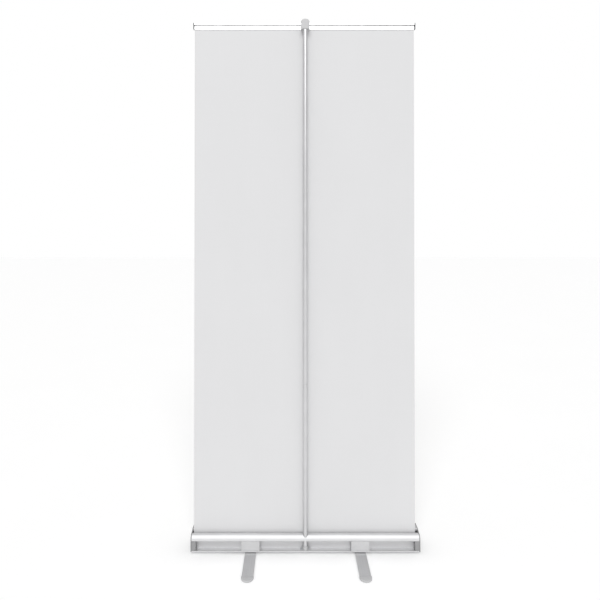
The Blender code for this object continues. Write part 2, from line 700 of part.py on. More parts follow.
def make_pole_cup():
    """Moulded cup on the bay's floor that the pole stands in."""
    half = CUP_BASE_WIDTH / 2
    base = block(
        "pole_cup",
        (-half, BAY_FACE + GAP, CUP_BOTTOM),
        (half, CASING_REAR - REAR_LIP_THICK - GAP, CUP_BOTTOM + CUP_BASE_THICK),
    )
    low = CUP_BOTTOM + CUP_BASE_THICK / 2
    flare = [
        (0, CUP_BOTTOM + CUP_HEIGHT),
        (CUP_OUTER, CUP_BOTTOM + CUP_HEIGHT),
        (CUP_OUTER, low),
        (0, low),
    ]
    join(base, turned("cup_wall", flare, (0, POLE_PLANE, 0), "Z", 32))
    bore = rod("cup_bore", POLE_RADIUS + GAP, PLUG_FOOT - GAP, NOSE_Z, (0, POLE_PLANE, 0), "Z", 32)
    cut(base, bore)
    for side, x in cup_screw_places().items():
        hole = rod(f"cup_hole_{side}", CUP_SCREW + GAP, 0, NOSE_Z, (x, POLE_PLANE, 0), "Z", 12)
        cut(base, hole)
    finish(base, PLASTIC)
    top = CUP_BOTTOM + CUP_BASE_THICK + GAP
    profile = [
        (0, top + CUP_SCREW_HEAD_THICK),
        (CUP_SCREW_HEAD * 0.7, top + CUP_SCREW_HEAD_THICK),
        (CUP_SCREW_HEAD, top),
        (CUP_SCREW, top),
        (CUP_SCREW, CASING_BOTTOM + GAP),
        (0, CASING_BOTTOM + GAP),
    ]
    for side, x in cup_screw_places().items():
        finish(turned(f"pole_cup_screw_{side}", profile, (x, POLE_PLANE, 0), "Z", 12), STEEL)


def make_pole():
    axis = (0, POLE_PLANE, 0)
    joints = (POLE_FOOT, POLE_LOWER_TOP, POLE_MIDDLE_TOP, POLE_TOP + GAP)
    for level, low, high in zip(("lower", "middle", "upper"), joints, joints[1:]):
        finish(pipe(f"pole_section_{level}", POLE_RADIUS, POLE_BORE, low, high - GAP, axis, "Z", 32), ALUMINIUM)
    spigot = POLE_BORE - GAP
    half = SPIGOT_LENGTH / 2
    for level, z in (("lower", POLE_LOWER_TOP), ("upper", POLE_MIDDLE_TOP)):
        sleeve = pipe(f"pole_spigot_{level}", spigot, spigot - SPIGOT_WALL, z - half, z + half, axis, "Z", 24)
        finish(sleeve, STEEL)
    cord_low = POLE_FOOT + CORD_SEAT + GAP
    cord_high = POLE_TOP - CORD_SEAT - GAP
    finish(rod("pole_cord", CORD_RADIUS, cord_low, cord_high, axis, "Z", 12), RUBBER)
    make_pole_plug(axis)


def make_pole_plug(axis):
    """Moulded plug in the pole's foot, with a blind hole for the elastic cord."""
    seat = CORD_RADIUS + GAP
    profile = [
        (seat, POLE_FOOT + PLUG_REACH),
        (POLE_BORE - GAP, POLE_FOOT + PLUG_REACH),
        (POLE_BORE - GAP, POLE_FOOT - GAP),
        (POLE_RADIUS, POLE_FOOT - GAP),
        (POLE_RADIUS - PLUG_CHAMFER, PLUG_FOOT),
        (0, PLUG_FOOT),
        (0, POLE_FOOT + CORD_SEAT),
        (seat, POLE_FOOT + CORD_SEAT),
    ]
    finish(turned("pole_foot_plug", profile, axis, "Z", 24), DARK_PLASTIC)


def make_pole_head():
    """Moulded head on the pole with an upright hook that the rail's flange hangs on."""
    half = HEAD_WIDTH / 2
    low = HEAD_BOTTOM
    high = HEAD_TOP
    corner = HEAD_CORNER
    crown = HEAD_CROWN
    outline = arc((half - corner, low + corner), (corner, corner), -60, 0, 4)
    outline += arc((half - crown, high - crown), (crown, crown), 15, 90, 6)
    outline += arc((crown - half, high - crown), (crown, crown), 90, 165, 6)
    outline += arc((corner - half, low + corner), (corner, corner), 180, 240, 4)
    outline += [(-POLE_RADIUS, low), (POLE_RADIUS, low)]
    front = RAIL_REAR + GAP
    rear = POLE_PLANE + POLE_RADIUS
    head = extrusion("pole_top_head", [outline], front, rear, "Y")
    soften(head, 0.0015, 2, 50)
    hook = HOOK_WIDTH / 2
    bridge = block(
        "head_bridge",
        (-hook, WEB_BACK + GAP, low + corner),
        (hook, RAIL_REAR + HOOK_ROOT, FLANGE_Z - GAP),
    )
    join(head, bridge)
    lip = block(
        "head_lip",
        (-hook, WEB_BACK + GAP, FLANGE_Z - HOOK_LIP),
        (hook, FLANGE_FRONT - GAP, RAIL_TOP - RAIL_SKIN - 2 * GAP),
    )
    join(head, lip)
    spigot_top = low + SPIGOT_ROOT
    spigot = rod("head_spigot", POLE_BORE - GAP, POLE_TOP - PLUG_REACH, spigot_top, (0, POLE_PLANE, 0), "Z", 24)
    join(head, spigot)
    seat_low = POLE_TOP - 2 * PLUG_REACH
    seat_high = POLE_TOP - CORD_SEAT
    seat = rod("head_cord_seat", CORD_RADIUS + GAP, seat_low, seat_high, (0, POLE_PLANE, 0), "Z", 12)
    cut(head, seat)
    finish(head, PLASTIC)


# ================================================================ clamp rail and banner
def rail_outline():
    """Rear half of the rail: top plate, web behind the banner, and the flange that hangs on the pole's head."""
    corner = 0.0015
    plate_z = RAIL_TOP - RAIL_SKIN
    rear_corner = arc((RAIL_REAR - corner, RAIL_TOP - corner), (corner, corner), 0, 90, 3)
    front_corner = arc((RAIL_FRONT + corner, RAIL_TOP - corner), (corner, corner), 90, 180, 3)
    hinge_lip = [
        (RAIL_FRONT, plate_z - 0.0012),
        (RAIL_FRONT + 0.0006, plate_z - 0.0012),
        (RAIL_FRONT + 0.0009, plate_z),
    ]
    web = [(WEB_FRONT, plate_z), (WEB_FRONT, RAIL_BOTTOM), (WEB_BACK, RAIL_BOTTOM), (WEB_BACK, plate_z)]
    flange = [(FLANGE_FRONT, plate_z), (FLANGE_FRONT, FLANGE_Z), (RAIL_REAR, FLANGE_Z)]
    return rear_corner + front_corner + hinge_lip + web + flange


def jaw_outline():
    """Front half of the rail: a hollow bow that turns on the bead at its top and grips with its lower edge."""
    bead = arc((HINGE_Y, HINGE_Z), (HINGE_RADIUS, HINGE_RADIUS), -40, 220, 10)
    grip = BANNER_PLANE - BANNER_THICK / 2 - GAP
    bow = [
        (JAW_FRONT + 0.0020, HINGE_Z - 0.0036),
        (JAW_FRONT + 0.0005, HINGE_Z - 0.0070),
        (JAW_FRONT, HINGE_Z - 0.0105),
        (JAW_FRONT + 0.0006, HINGE_Z - 0.0145),
        (JAW_FRONT + 0.0026, RAIL_BOTTOM + 0.0006),
        (JAW_FRONT + 0.0040, RAIL_BOTTOM),
        (grip, RAIL_BOTTOM),
        (grip, RAIL_BOTTOM + 0.0030),
        (JAW_FRONT + 0.0040, RAIL_BOTTOM + 0.0036),
        (JAW_FRONT + 0.0020, HINGE_Z - 0.0115),
        (JAW_FRONT + 0.0024, HINGE_Z - 0.0070),
        (JAW_FRONT + 0.0050, HINGE_Z - 0.0030),
    ]
    return bead + bow


def make_rail():
    low = BANNER_SHIFT - RAIL_END
    high = BANNER_SHIFT + RAIL_END
    finish(extrusion("top_rail_body", [rail_outline()], low, high, "X"), ALUMINIUM)
    finish(extrusion("top_rail_jaw", [jaw_outline()], low, high, "X"), ALUMINIUM)
    for side, sign in (("left", 1), ("right", -1)):
        make_rail_cap(side, sign)


def make_rail_cap(side, sign):
    """Moulded end of the rail, with a tongue in the flange's channel."""
    corner = 0.0018
    outline = arc((RAIL_REAR - corner, RAIL_TOP - corner), (corner, corner), 0, 90, 3)
    outline += arc((JAW_FRONT + 0.004, RAIL_TOP - 0.004), (0.004, 0.004), 90, 180, 4)
    outline += [(JAW_FRONT, RAIL_BOTTOM + 0.004), (JAW_FRONT + 0.003, RAIL_BOTTOM), (RAIL_REAR, RAIL_BOTTOM)]
    outer = BANNER_SHIFT + sign * RAIL_LENGTH / 2
    inner = BANNER_SHIFT + sign * (RAIL_LENGTH / 2 - RAIL_CAP_THICK)
    low, high = sorted((inner, outer))
    cap = extrusion(f"rail_end_cap_{side}", [outline], low, high, "X")
    soften(cap, 0.0006, 1, 40)
    low, high = sorted((inner - sign * 0.010, inner + sign * RAIL_CAP_THICK / 2))
    tongue = block(
        f"rail_tongue_{side}",
        (low, WEB_BACK + GAP, FLANGE_Z),
        (high, FLANGE_FRONT - GAP, RAIL_TOP - RAIL_SKIN - GAP),
    )
    join(cap, tongue)
    finish(cap, DARK_PLASTIC)


def make_banner():
    """The drawn-out banner, from the roller's tangent to the clamp."""
    half = BANNER_WIDTH / 2
    sheet = block(
        "banner_graphic",
        (BANNER_SHIFT - half, BANNER_PLANE - BANNER_THICK / 2, ROLLER_Z),
        (BANNER_SHIFT + half, BANNER_PLANE + BANNER_THICK / 2, RAIL_BOTTOM + 0.014),
    )
    finish(sheet, FILM)


# ================================================================ assembly
def main():
    make_casing()
    for side, sign in (("left", 1), ("right", -1)):
        make_end_cap(side, sign)
        make_end_cap_screws(side, sign)
    for side, x in foot_places().items():
        make_bay_block(side, x)
        make_foot(side, x)
        make_foot_pivot(side, x)
    make_roller()
    make_roller_pins()
    make_pole_cup()
    make_pole()
    make_pole_head()
    make_rail()
    make_banner()


main()
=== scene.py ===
"""Roll-up banner stand: its looks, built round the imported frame.

X runs along the cassette, -Y is the printed side, +Y the back with the pole, and +Z is up. Lengths are in
metres.
"""

import math

import bmesh
import bpy
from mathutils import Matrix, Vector


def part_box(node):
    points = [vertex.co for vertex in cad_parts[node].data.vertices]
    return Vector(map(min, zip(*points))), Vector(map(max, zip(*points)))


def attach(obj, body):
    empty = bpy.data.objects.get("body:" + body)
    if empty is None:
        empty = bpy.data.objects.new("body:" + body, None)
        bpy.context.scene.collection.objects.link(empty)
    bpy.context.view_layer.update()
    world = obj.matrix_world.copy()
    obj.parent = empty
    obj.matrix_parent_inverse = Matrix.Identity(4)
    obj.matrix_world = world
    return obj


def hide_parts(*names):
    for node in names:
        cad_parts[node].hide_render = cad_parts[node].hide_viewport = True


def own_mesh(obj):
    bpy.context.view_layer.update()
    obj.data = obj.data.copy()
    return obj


bl_info = {
    "name": "Roll-up banner stand",
    "version": (1, 0, 0),
    "blender": (4, 5, 0),
    "location": "View3D > Sidebar > Banner stand",
    "description": "Finished pieces, materials and studio for a retractable banner stand",
    "category": "Add Mesh",
}

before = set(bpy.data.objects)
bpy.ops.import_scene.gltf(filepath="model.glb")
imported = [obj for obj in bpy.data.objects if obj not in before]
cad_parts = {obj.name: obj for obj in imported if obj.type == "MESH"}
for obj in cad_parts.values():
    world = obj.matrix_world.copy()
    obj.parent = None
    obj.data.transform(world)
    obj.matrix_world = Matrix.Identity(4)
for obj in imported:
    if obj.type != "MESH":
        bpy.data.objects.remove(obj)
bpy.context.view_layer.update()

MM = 0.001
GAP = 0.3 * MM                  # clearance between neighbouring pieces
OVER = 1 * MM                   # how far a cutter, or a block to be joined on, passes a surface
SIDES = {"left": 1, "right": -1}

# Places that the pieces share, read from the frame.
CASING_LOW, CASING_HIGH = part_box("casing_extrusion")
FILM_LOW, FILM_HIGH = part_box("banner_graphic")
RAIL_LOW, RAIL_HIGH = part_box("top_rail_body")
JAW_LOW, JAW_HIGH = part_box("top_rail_jaw")
HEAD_LOW, HEAD_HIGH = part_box("pole_top_head")
POLE_LOW, POLE_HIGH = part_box("pole_section_middle")
CUP_LOW, CUP_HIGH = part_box("pole_cup")

FILM_PLANE = (FILM_LOW.y + FILM_HIGH.y) / 2
FILM_MIDDLE = (FILM_LOW.x + FILM_HIGH.x) / 2
POLE_PLANE = (POLE_LOW.y + POLE_HIGH.y) / 2
POLE_RADIUS = (POLE_HIGH.y - POLE_LOW.y) / 2
FLANGE_DROP = 8.5 * MM          # the rail's hanging flange ends this far below the rail's top
CAP_PLATE = 3.5 * MM            # thickness of the cassette's and the rail's end caps
PANEL_INSET = 5 * MM            # from an end cap's edge to its sunk panel
PANEL_DEPTH = 0.8 * MM
SCREW_PORT = 4.2 * MM           # outer radius of the casing's screw ports
PIVOT_HOLE = 3.3 * MM           # radius of the holes for the foot bolts

# Studio.
FLOOR_SIZE = 60
FLOOR_DROP = 0.2 * MM           # the floor lies this far under the feet
SENSOR_WIDTH = 36
LENS_SHIFT = (0.0134, -0.1083)

# Casing profile, as the frame's extrusion has it.
WALL = 0.002
SLOT_FRONT = 0.013
BAY_WALL = 0.0235
RIDGE_FRONT = 0.0315
RIDGE_WIDTH = 0.0035
RIDGE_DROP = 0.006              # rear crest below the front shell's top
NOSE_HEIGHT = 0.0415
GROOVE_WIDTH = 0.0012
GROOVE_DEPTH = 0.0010
VALLEY_DROP = 0.0032
FRONT_ARCH = 0.025
FRONT_TOE = 0.012
REAR_LIP_HEIGHT = 0.005
REAR_LIP_THICK = 0.0016
RIDGE_Z = CASING_HIGH.z - RIDGE_DROP
NOSE_Z = CASING_LOW.z + NOSE_HEIGHT
VALLEY_Z = RIDGE_Z - VALLEY_DROP
FLOOR_TOP = CASING_LOW.z + WALL


# ---------------------------------------------------------------- colours and settings
def linear(code):
    """Scene-linear colour of an sRGB hex value."""
    shares = [int(code[place:place + 2], 16) / 255 for place in (0, 2, 4)]
    return tuple(share / 12.92 if share <= 0.04045 else ((share + 0.055) / 1.055) ** 2.4 for share in shares)


def length(name, about, default):
    return bpy.props.FloatProperty(
        name=name, description=about, default=default, min=0, unit="LENGTH", precision=5
    )


def angle_of(name, about, degrees):
    turn = math.radians(degrees)
    return bpy.props.FloatProperty(name=name, description=about, default=turn, subtype="ANGLE")


def number(name, about, default, unit="NONE"):
    return bpy.props.FloatProperty(name=name, description=about, default=default, unit=unit)


def colour(name, about, code):
    return bpy.props.FloatVectorProperty(
        name=name, description=about, default=linear(code), size=3, min=0, max=1, subtype="COLOR"
    )


class BannerSettings(bpy.types.PropertyGroup):
    """The hanging film and the turns left on the roller."""

    thickness: length("Film thickness", "Thickness of the banner film", 0.4 * MM)
    edge_curl: length("Edge curl", "How far the film's free edges lean out of its plane", 0.25 * MM)
    curl_reach: length("Curl reach", "Width of the curled strip along each edge", 0.045)
    front: colour("Printed side", "Colour of the film's front", "f4f4f2")
    back: colour("Back", "Colour of the film's light-blocking back", "cdcdce")


class CassetteSettings(bpy.types.PropertyGroup):
    """Casing, end caps and the blocks in its bay."""

    edge: length("Extrusion edge", "Rounding on the casing's sharp edges", 0.25 * MM)
    cap_edge: length("Moulded edge", "Rounding on the end caps", 0.9 * MM)
    aluminium: colour("Aluminium", "Colour of the anodised casing", "d8d8d9")
    plastic: colour("End caps", "Colour of the moulded end caps", "8e8e8f")


class FootSettings(bpy.types.PropertyGroup):
    """The two swivel feet."""

    edge: length("Bar edge", "Rounding on the bar's rim", 0.6 * MM)
    tip_edge: length("Tip edge", "Rounding on the moulded tips", 1.2 * MM)
    aluminium: colour("Bar", "Colour of the anodised bars", "cdcdce")
    plastic: colour("Tips", "Colour of the moulded tips", "b3b3b4")


class PoleSettings(bpy.types.PropertyGroup):
    """The three-part pole, its cup and its head."""

    seam: length("Seam", "Rounding at each section's ends, which shows as a fine dark ring", 0.5 * MM)
    cup: colour("Cup", "Colour of the moulded cup", "b5b5b6")
    aluminium: colour("Tube", "Colour of the anodised tube", "d5d5d6")
    head: colour("Head", "Colour of the moulded head", "b3b3b4")
    dark: colour("Dark parts", "Colour of the rail's end caps and the inner plugs", "3a3b3d")


class RailSettings(bpy.types.PropertyGroup):
    """The clamp rail."""

    edge: length("Rail edge", "Rounding on the rail's sharp edges", 0.25 * MM)
    aluminium: colour("Aluminium", "Colour of the anodised rail", "f6f6f7")


class StageSettings(bpy.types.PropertyGroup):
    """Floor, lights and camera."""

    height: length("Camera height", "Height of the camera above the floor", 1.192)
    distance: length("Camera distance", "Distance of the camera behind the foot pivots", 1.887)
    aside: length("Camera offset", "How far the camera stands towards the spring end", 0.051)
    lens: number("Lens", "Focal length", 29.0, "CAMERA")
    tilt: angle_of("Tilt", "Upward tilt of the camera", 0.52)
    key: number("Key light", "Strength of the broad key light", 1.70)
    key_height: angle_of("Key height", "Angle of the key light above the floor", 40)
    key_side: angle_of("Key side", "Angle of the key light towards the spring end", 3)
    key_size: angle_of("Key softness", "Breadth of the key light", 38)
    fill: number("Fill", "Light that the white surround gives", 0.66)
    floor: colour("Floor", "Colour of the floor", "fafafa")


class StandSettings(bpy.types.PropertyGroup):
    """Everything that can be changed on the stand."""

    banner: bpy.props.PointerProperty(type=BannerSettings)
    cassette: bpy.props.PointerProperty(type=CassetteSettings)
    feet: bpy.props.PointerProperty(type=FootSettings)
    pole: bpy.props.PointerProperty(type=PoleSettings)
    rail: bpy.props.PointerProperty(type=RailSettings)
    stage: bpy.props.PointerProperty(type=StageSettings)


def settings():
    return bpy.context.scene.banner_stand


# ---------------------------------------------------------------- materials
EVEN = (1, 1, 1)                # a pattern that isn't stretched along any axis


def add_node(tree, kind, own=None, inputs=None):
    """Add a node with its own settings; each input is a value or another node's output."""
    made = tree.nodes.new(kind)
    for key, value in (own or {}).items():
        setattr(made, key, value)
    for key, value in (inputs or {}).items():
        if isinstance(value, bpy.types.NodeSocket):
            tree.links.new(value, made.inputs[key])
        else:
            made.inputs[key].default_value = value
    return made


def new_material(name, **shader_values):
    """A material with its principled shader set up; returns it with its tree and shader."""
    made = bpy.data.materials.new(name)
    made.use_nodes = True
    tree = made.node_tree
    shader = tree.nodes["Principled BSDF"]
    for key, value in shader_values.items():
        shader.inputs[key.replace("_", " ")].default_value = value
    return made, tree, shader


def pattern_place(tree, scale):
    """Object coordinates, in metres, stretched by a scale per axis."""
    place = add_node(tree, "ShaderNodeTexCoord")
    return add_node(
        tree, "ShaderNodeMapping", inputs={"Vector": place.outputs["Object"], "Scale": scale}
    ).outputs["Vector"]


def shade(value, factor):
    return tuple(min(1.0, channel * factor) for channel in value) + (1.0,)


def tone(tree, amount, dark, light, low=0.3, high=0.7):
    """A colour between two tones, chosen by a pattern's value."""
    spread = add_node(
        tree, "ShaderNodeMapRange", inputs={"Value": amount, "From Min": low, "From Max": high}
    )
    mixed = add_node(
        tree, "ShaderNodeMix", {"data_type": "RGBA"}, {0: spread.outputs[0], 6: dark, 7: light}
    )
    return mixed.outputs[2]


def spread_value(tree, amount, low, high):
    """A number between low and high, chosen by a pattern's value."""
    return add_node(
        tree, "ShaderNodeMapRange",
        inputs={"Value": amount, "From Min": 0.3, "From Max": 0.7, "To Min": low, "To Max": high},
    ).outputs[0]


def paint(tree, shader, pattern, dark, light, *span):
    """The base colour, between two tones chosen by a pattern."""
    tree.links.new(tone(tree, pattern, dark, light, *span), shader.inputs["Base Color"])


def roughen(tree, shader, pattern, low, high):
    tree.links.new(spread_value(tree, pattern, low, high), shader.inputs["Roughness"])


def noise(tree, stretch, scale, detail=3.0, roughness=0.5):
    place = pattern_place(tree, stretch)
    inputs = {"Vector": place, "Scale": scale, "Detail": detail, "Roughness": roughness}
    return add_node(tree, "ShaderNodeTexNoise", inputs=inputs).outputs["Fac"]


def blend(tree, share, first, second):
    """Two patterns mixed, with that share of the second."""
    inputs = {0: share, 2: first, 3: second}
    return add_node(tree, "ShaderNodeMix", {"data_type": "FLOAT"}, inputs).outputs[0]


def bump(tree, shader, height, strength, distance):
    relief = add_node(
        tree, "ShaderNodeBump", inputs={"Height": height, "Strength": strength, "Distance": distance}
    )
    tree.links.new(relief.outputs["Normal"], shader.inputs["Normal"])


def anodised_aluminium(name, base, axis, matt):
    """Extruded aluminium, etched and clear anodised: a soft satin metal, with faint lines from the die."""
    made, tree, shader = new_material(name, Metallic=1.0, Roughness=matt)
    # Die lines lie 0.1 to 0.3 mm apart; they are drawn 1.5 mm apart, or they would not show.
    lines = [1 / (1.5 * MM)] * 3
    lines["XYZ".index(axis)] = 3.0
    drawn = noise(tree, lines, 1.0, 4.0, 0.6)
    # Anodising takes a little unevenly over some 60 mm.
    cloud = noise(tree, EVEN, 1 / (60 * MM), 2.0)
    blended = blend(tree, 0.35, drawn, cloud)
    paint(tree, shader, blended, shade(base, 0.90), shade(base, 1.08))
    roughen(tree, shader, blended, matt - 0.05, matt + 0.07)
    bump(tree, shader, drawn, 0.18, 0.05 * MM)
    return made


def moulded_plastic(name, base, matt, grain=0.8 * MM):
    """Injection-moulded ABS from a spark-eroded mould: an even colour under a fine leathery grain."""
    made, tree, shader = new_material(name, Roughness=matt, IOR=1.53)
    # The mould's grain is about 0.2 mm; it is drawn coarser so that it shows.
    fine = noise(tree, EVEN, 1 / grain, 4.0, 0.6)
    # Flow of the melt clouds the colour over some 25 mm.
    flow = noise(tree, EVEN, 1 / (25 * MM), 2.0)
    blended = blend(tree, 0.5, fine, flow)
    paint(tree, shader, blended, shade(base, 0.92), shade(base, 1.06))
    roughen(tree, shader, fine, matt - 0.06, matt + 0.08)
    bump(tree, shader, fine, 0.25, 0.08 * MM)
    return made


def zinc_plated_steel(name):
    """Bright zinc-plated steel with a faint blue passivation: small crisp highlights, slightly clouded."""
    made, tree, shader = new_material(name, Metallic=1.0, Roughness=0.28)
    cloud = noise(tree, EVEN, 1 / (2 * MM), 4.0, 0.6)
    paint(tree, shader, cloud, linear("a9aeb6") + (1.0,), linear("c9ccd0") + (1.0,))
    roughen(tree, shader, cloud, 0.22, 0.36)
    bump(tree, shader, cloud, 0.1, 0.03 * MM)
    return made


def banner_film(name, base, matt, fibre):
    """Polyester film with a light-blocking coat: matt and even, faintly cloudy, with a web of fine lines."""
    made, tree, shader = new_material(name, Roughness=matt, IOR=1.5)
    # The coat's threads are 0.4 mm apart; they are drawn 1.2 mm apart, or they would not show.
    across = noise(tree, (1 / (1.2 * MM), 1, 4.0), 1.0, 3.0)
    along = noise(tree, (4.0, 1, 1 / (1.2 * MM)), 1.0, 3.0)
    weave = add_node(tree, "ShaderNodeMath", {"operation": "MAXIMUM"}, {0: across, 1: along}).outputs[0]
    # Coating thickness drifts over some 150 mm.
    drift = noise(tree, (1, 1, 0.4), 1 / (150 * MM), 2.0)
    blended = blend(tree, 0.4, weave, drift)
    paint(tree, shader, blended, shade(base, 0.985), shade(base, 1.012), 0.4, 0.7)
    roughen(tree, shader, blended, matt - 0.04, matt + 0.05)
    bump(tree, shader, weave, fibre, 0.03 * MM)
    return made


def wound_film(name, base):
    """The same film seen on edge and on the roller: thin grey rings from its many turns."""
    made, tree, shader = new_material(name, Roughness=0.55, IOR=1.5)
    rings = add_node(
        tree, "ShaderNodeTexWave", {"wave_type": "RINGS", "rings_direction": "X"},
        {"Vector": pattern_place(tree, EVEN), "Scale": 1 / (1.6 * MM), "Distortion": 1.5, "Detail": 2.0},
    ).outputs["Fac"]
    paint(tree, shader, rings, shade(base, 0.86), shade(base, 1.0))
    bump(tree, shader, rings, 0.2, 0.05 * MM)
    return made


def braided_elastic(name):
    """Black elastic cord under a braided polyester jacket: matt, with small slanting stitches."""
    made, tree, shader = new_material(name, Roughness=0.8, IOR=1.5)
    # The braid repeats every 1.5 mm.
    braid = add_node(
        tree, "ShaderNodeTexWave", {"wave_type": "BANDS", "bands_direction": "DIAGONAL"},
        {"Vector": pattern_place(tree, EVEN), "Scale": 1 / (1.5 * MM), "Distortion": 2.0},
    ).outputs["Fac"]
    paint(tree, shader, braid, linear("141414") + (1.0,), linear("303032") + (1.0,))
    bump(tree, shader, braid, 0.5, 0.2 * MM)
    return made


def painted_floor(name, base):
    """White painted floor lit from below: nearly white, with a barely visible cloudiness."""
    made, tree, shader = new_material(name, Roughness=0.75, IOR=1.45)
    shader.inputs["Emission Color"].default_value = (1, 1, 1, 1)
    shader.inputs["Emission Strength"].default_value = 0.05
    cloud = noise(tree, EVEN, 1 / 0.5, 3.0)
    paint(tree, shader, cloud, shade(base, 0.992), shade(base, 1.0))
    return made


# ---------------------------------------------------------------- modelling helpers
def clear_selection():
    if bpy.context.object and bpy.context.object.mode != "OBJECT":
        bpy.ops.object.mode_set(mode="OBJECT")
    bpy.ops.object.select_all(action="DESELECT")


def activate(piece):
    clear_selection()
    piece.select_set(True)
    bpy.context.view_layer.objects.active = piece
    return piece


def named(piece, name):
    piece.name = name
    piece.data.name = name
    return piece


def edit(piece):
    """Enter edit mode with nothing selected."""
    activate(piece)
    bpy.ops.object.mode_set(mode="EDIT")
    bpy.ops.mesh.select_all(action="DESELECT")
    return bmesh.from_edit_mesh(piece.data)


def select_faces(piece, wanted):
    """Select, in edit mode, the faces for which wanted(centre, normal) holds."""
    bpy.ops.mesh.select_mode(type="FACE")
    shell = bmesh.from_edit_mesh(piece.data)
    for face in shell.faces:
        face.select_set(bool(wanted(face.calc_center_median(), face.normal)))
    bmesh.update_edit_mesh(piece.data)


def leave_edit():
    bpy.ops.object.mode_set(mode="OBJECT")


def outward(piece, doubles=0.001 * MM):
    """Merge doubled vertices and turn all faces outwards."""
    edit(piece)
    bpy.ops.mesh.select_all(action="SELECT")
    bpy.ops.mesh.remove_doubles(threshold=doubles)
    bpy.ops.mesh.normals_make_consistent(inside=False)
    leave_edit()
    return piece


def apply_modifier(piece, kind, **values):
    activate(piece)
    added = piece.modifiers.new(kind.lower(), kind)
    for key, value in values.items():
        setattr(added, key, value)
    bpy.ops.object.modifier_apply(modifier=added.name)
    return piece


def round_edges(piece, width, segments=3, angle=35, mitre="MITER_ARC"):
    return apply_modifier(
        piece, "BEVEL", width=width, segments=segments, limit_method="ANGLE",
        angle_limit=math.radians(angle), use_clamp_overlap=True, miter_outer=mitre,
    )


def combine(piece, other, operation):
    apply_modifier(piece, "BOOLEAN", operation=operation, solver="EXACT", object=other)
    bpy.data.objects.remove(other)
    return piece


def cut(piece, other):
    """Cut another piece away from this one and drop the other."""
    return combine(piece, other, "DIFFERENCE")


def unite(piece, other):
    """Join another piece on to this one and drop the other."""
    return combine(piece, other, "UNION")


def mirrored(piece, name):
    """A copy of a piece for the stand's other end."""
    activate(piece)
    bpy.ops.object.duplicate()
    twin = named(bpy.context.object, name)
    twin.scale = (-1, 1, 1)
    return outward(settle(twin))


def smooth(piece, angle=32):
    activate(piece)
    bpy.ops.object.shade_smooth_by_angle(angle=math.radians(angle))
    return apply_modifier(piece, "WEIGHTED_NORMAL", keep_sharp=True)


def settle(piece):
    """Put a piece's place into its mesh."""
    activate(piece)
    bpy.ops.object.transform_apply(location=True, rotation=True, scale=True)
    return piece


def arc(centre, radii, start, stop, count):
    """Points of an arc, angles in degrees; radii is one number for a circle or two for an ellipse."""
    across, up = radii if isinstance(radii, tuple) else (radii, radii)
    points = []
    for step in range(count + 1):
        angle = math.radians(start + (stop - start) * step / count)
        points.append((centre[0] + across * math.cos(angle), centre[1] + up * math.sin(angle)))
    return points


ACROSS = {"X": (1, 2), "Y": (0, 2), "Z": (0, 1)}


def outlined(name, outline, axis, low, high):
    """A solid with that outline, (y, z) along X, (x, z) along Y or (x, y) along Z, from low to high."""
    clear_selection()
    bpy.ops.mesh.primitive_circle_add(vertices=len(outline), radius=1, fill_type="NGON")
    piece = named(bpy.context.object, name)
    first, second = ACROSS[axis]
    run = "XYZ".index(axis)
    for vertex, place in zip(piece.data.vertices, outline):
        vertex.co[first] = place[0]
        vertex.co[second] = place[1]
        vertex.co[run] = low
    way = [0, 0, 0]
    way[run] = high - low
    edit(piece)
    bpy.ops.mesh.select_all(action="SELECT")
    bpy.ops.mesh.extrude_region_move(TRANSFORM_OT_translate={"value": way})
    leave_edit()
    return outward(piece)


def box(name, low, high):
    """A block between two corners."""
    clear_selection()
    middle = [(a + b) / 2 for a, b in zip(low, high)]
    bpy.ops.mesh.primitive_cube_add(size=1, location=middle)
    bpy.context.object.scale = [b - a for a, b in zip(low, high)]
    return settle(named(bpy.context.object, name))


def rod(name, radius, low, high, place, axis="Z", sides=48):
    """A round bar from low to high along an axis; place gives the two other coordinates."""
    first, second = ACROSS[axis]
    middle = [(low + high) / 2] * 3
    middle[first], middle[second] = place
    turn = {"X": (0, math.pi / 2, 0), "Y": (math.pi / 2, 0, 0), "Z": (0, 0, 0)}[axis]
    clear_selection()
    bpy.ops.mesh.primitive_cylinder_add(
        vertices=sides, radius=radius, depth=high - low, location=middle, rotation=turn
    )
    return settle(named(bpy.context.object, name))


def turned(name, profile, place, axis="Z", steps=48):
    """Spin a closed (radius, height) profile about an axis. A profile that touches the axis does so at two
    neighbouring points."""
    clear_selection()
    bpy.ops.mesh.primitive_circle_add(vertices=len(profile), radius=1, fill_type="NOTHING")
    piece = named(bpy.context.object, name)
    for vertex, (radius, height) in zip(piece.data.vertices, profile):
        vertex.co = (radius, 0, height)
    shell = edit(piece)
    for line in shell.edges:
        if all(end.co.x < 0.001 * MM for end in line.verts):
            line.select_set(True)
    bmesh.update_edit_mesh(piece.data)
    bpy.ops.mesh.delete(type="EDGE_FACE")
    bpy.ops.mesh.select_all(action="SELECT")
    bpy.ops.mesh.spin(steps=steps, angle=2 * math.pi, center=(0, 0, 0), axis=(0, 0, 1))
    leave_edit()
    outward(piece)
    first, second = ACROSS[axis]
    spot = [0, 0, 0]
    spot[first], spot[second] = place
    piece.rotation_euler = {"X": (0, math.pi / 2, 0), "Y": (-math.pi / 2, 0, 0), "Z": (0, 0, 0)}[axis]
    piece.location = spot
    return settle(piece)


def finish(piece, look, body, slot, *nodes, angle=32):
    """Shade a piece, give it its finish and let it stand for its frame nodes."""
    smooth(piece, angle)
    piece.data.materials.clear()
    for each in look if isinstance(look, (list, tuple)) else (look,):
        piece.data.materials.append(each)
    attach(piece, body)
    if nodes:
        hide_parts(*nodes)
    return piece


LOOKS = {}


def look(name, make, *values):
    """Make a material once and use it again."""
    if name not in LOOKS:
        LOOKS[name] = make(name, *values)
    return LOOKS[name]


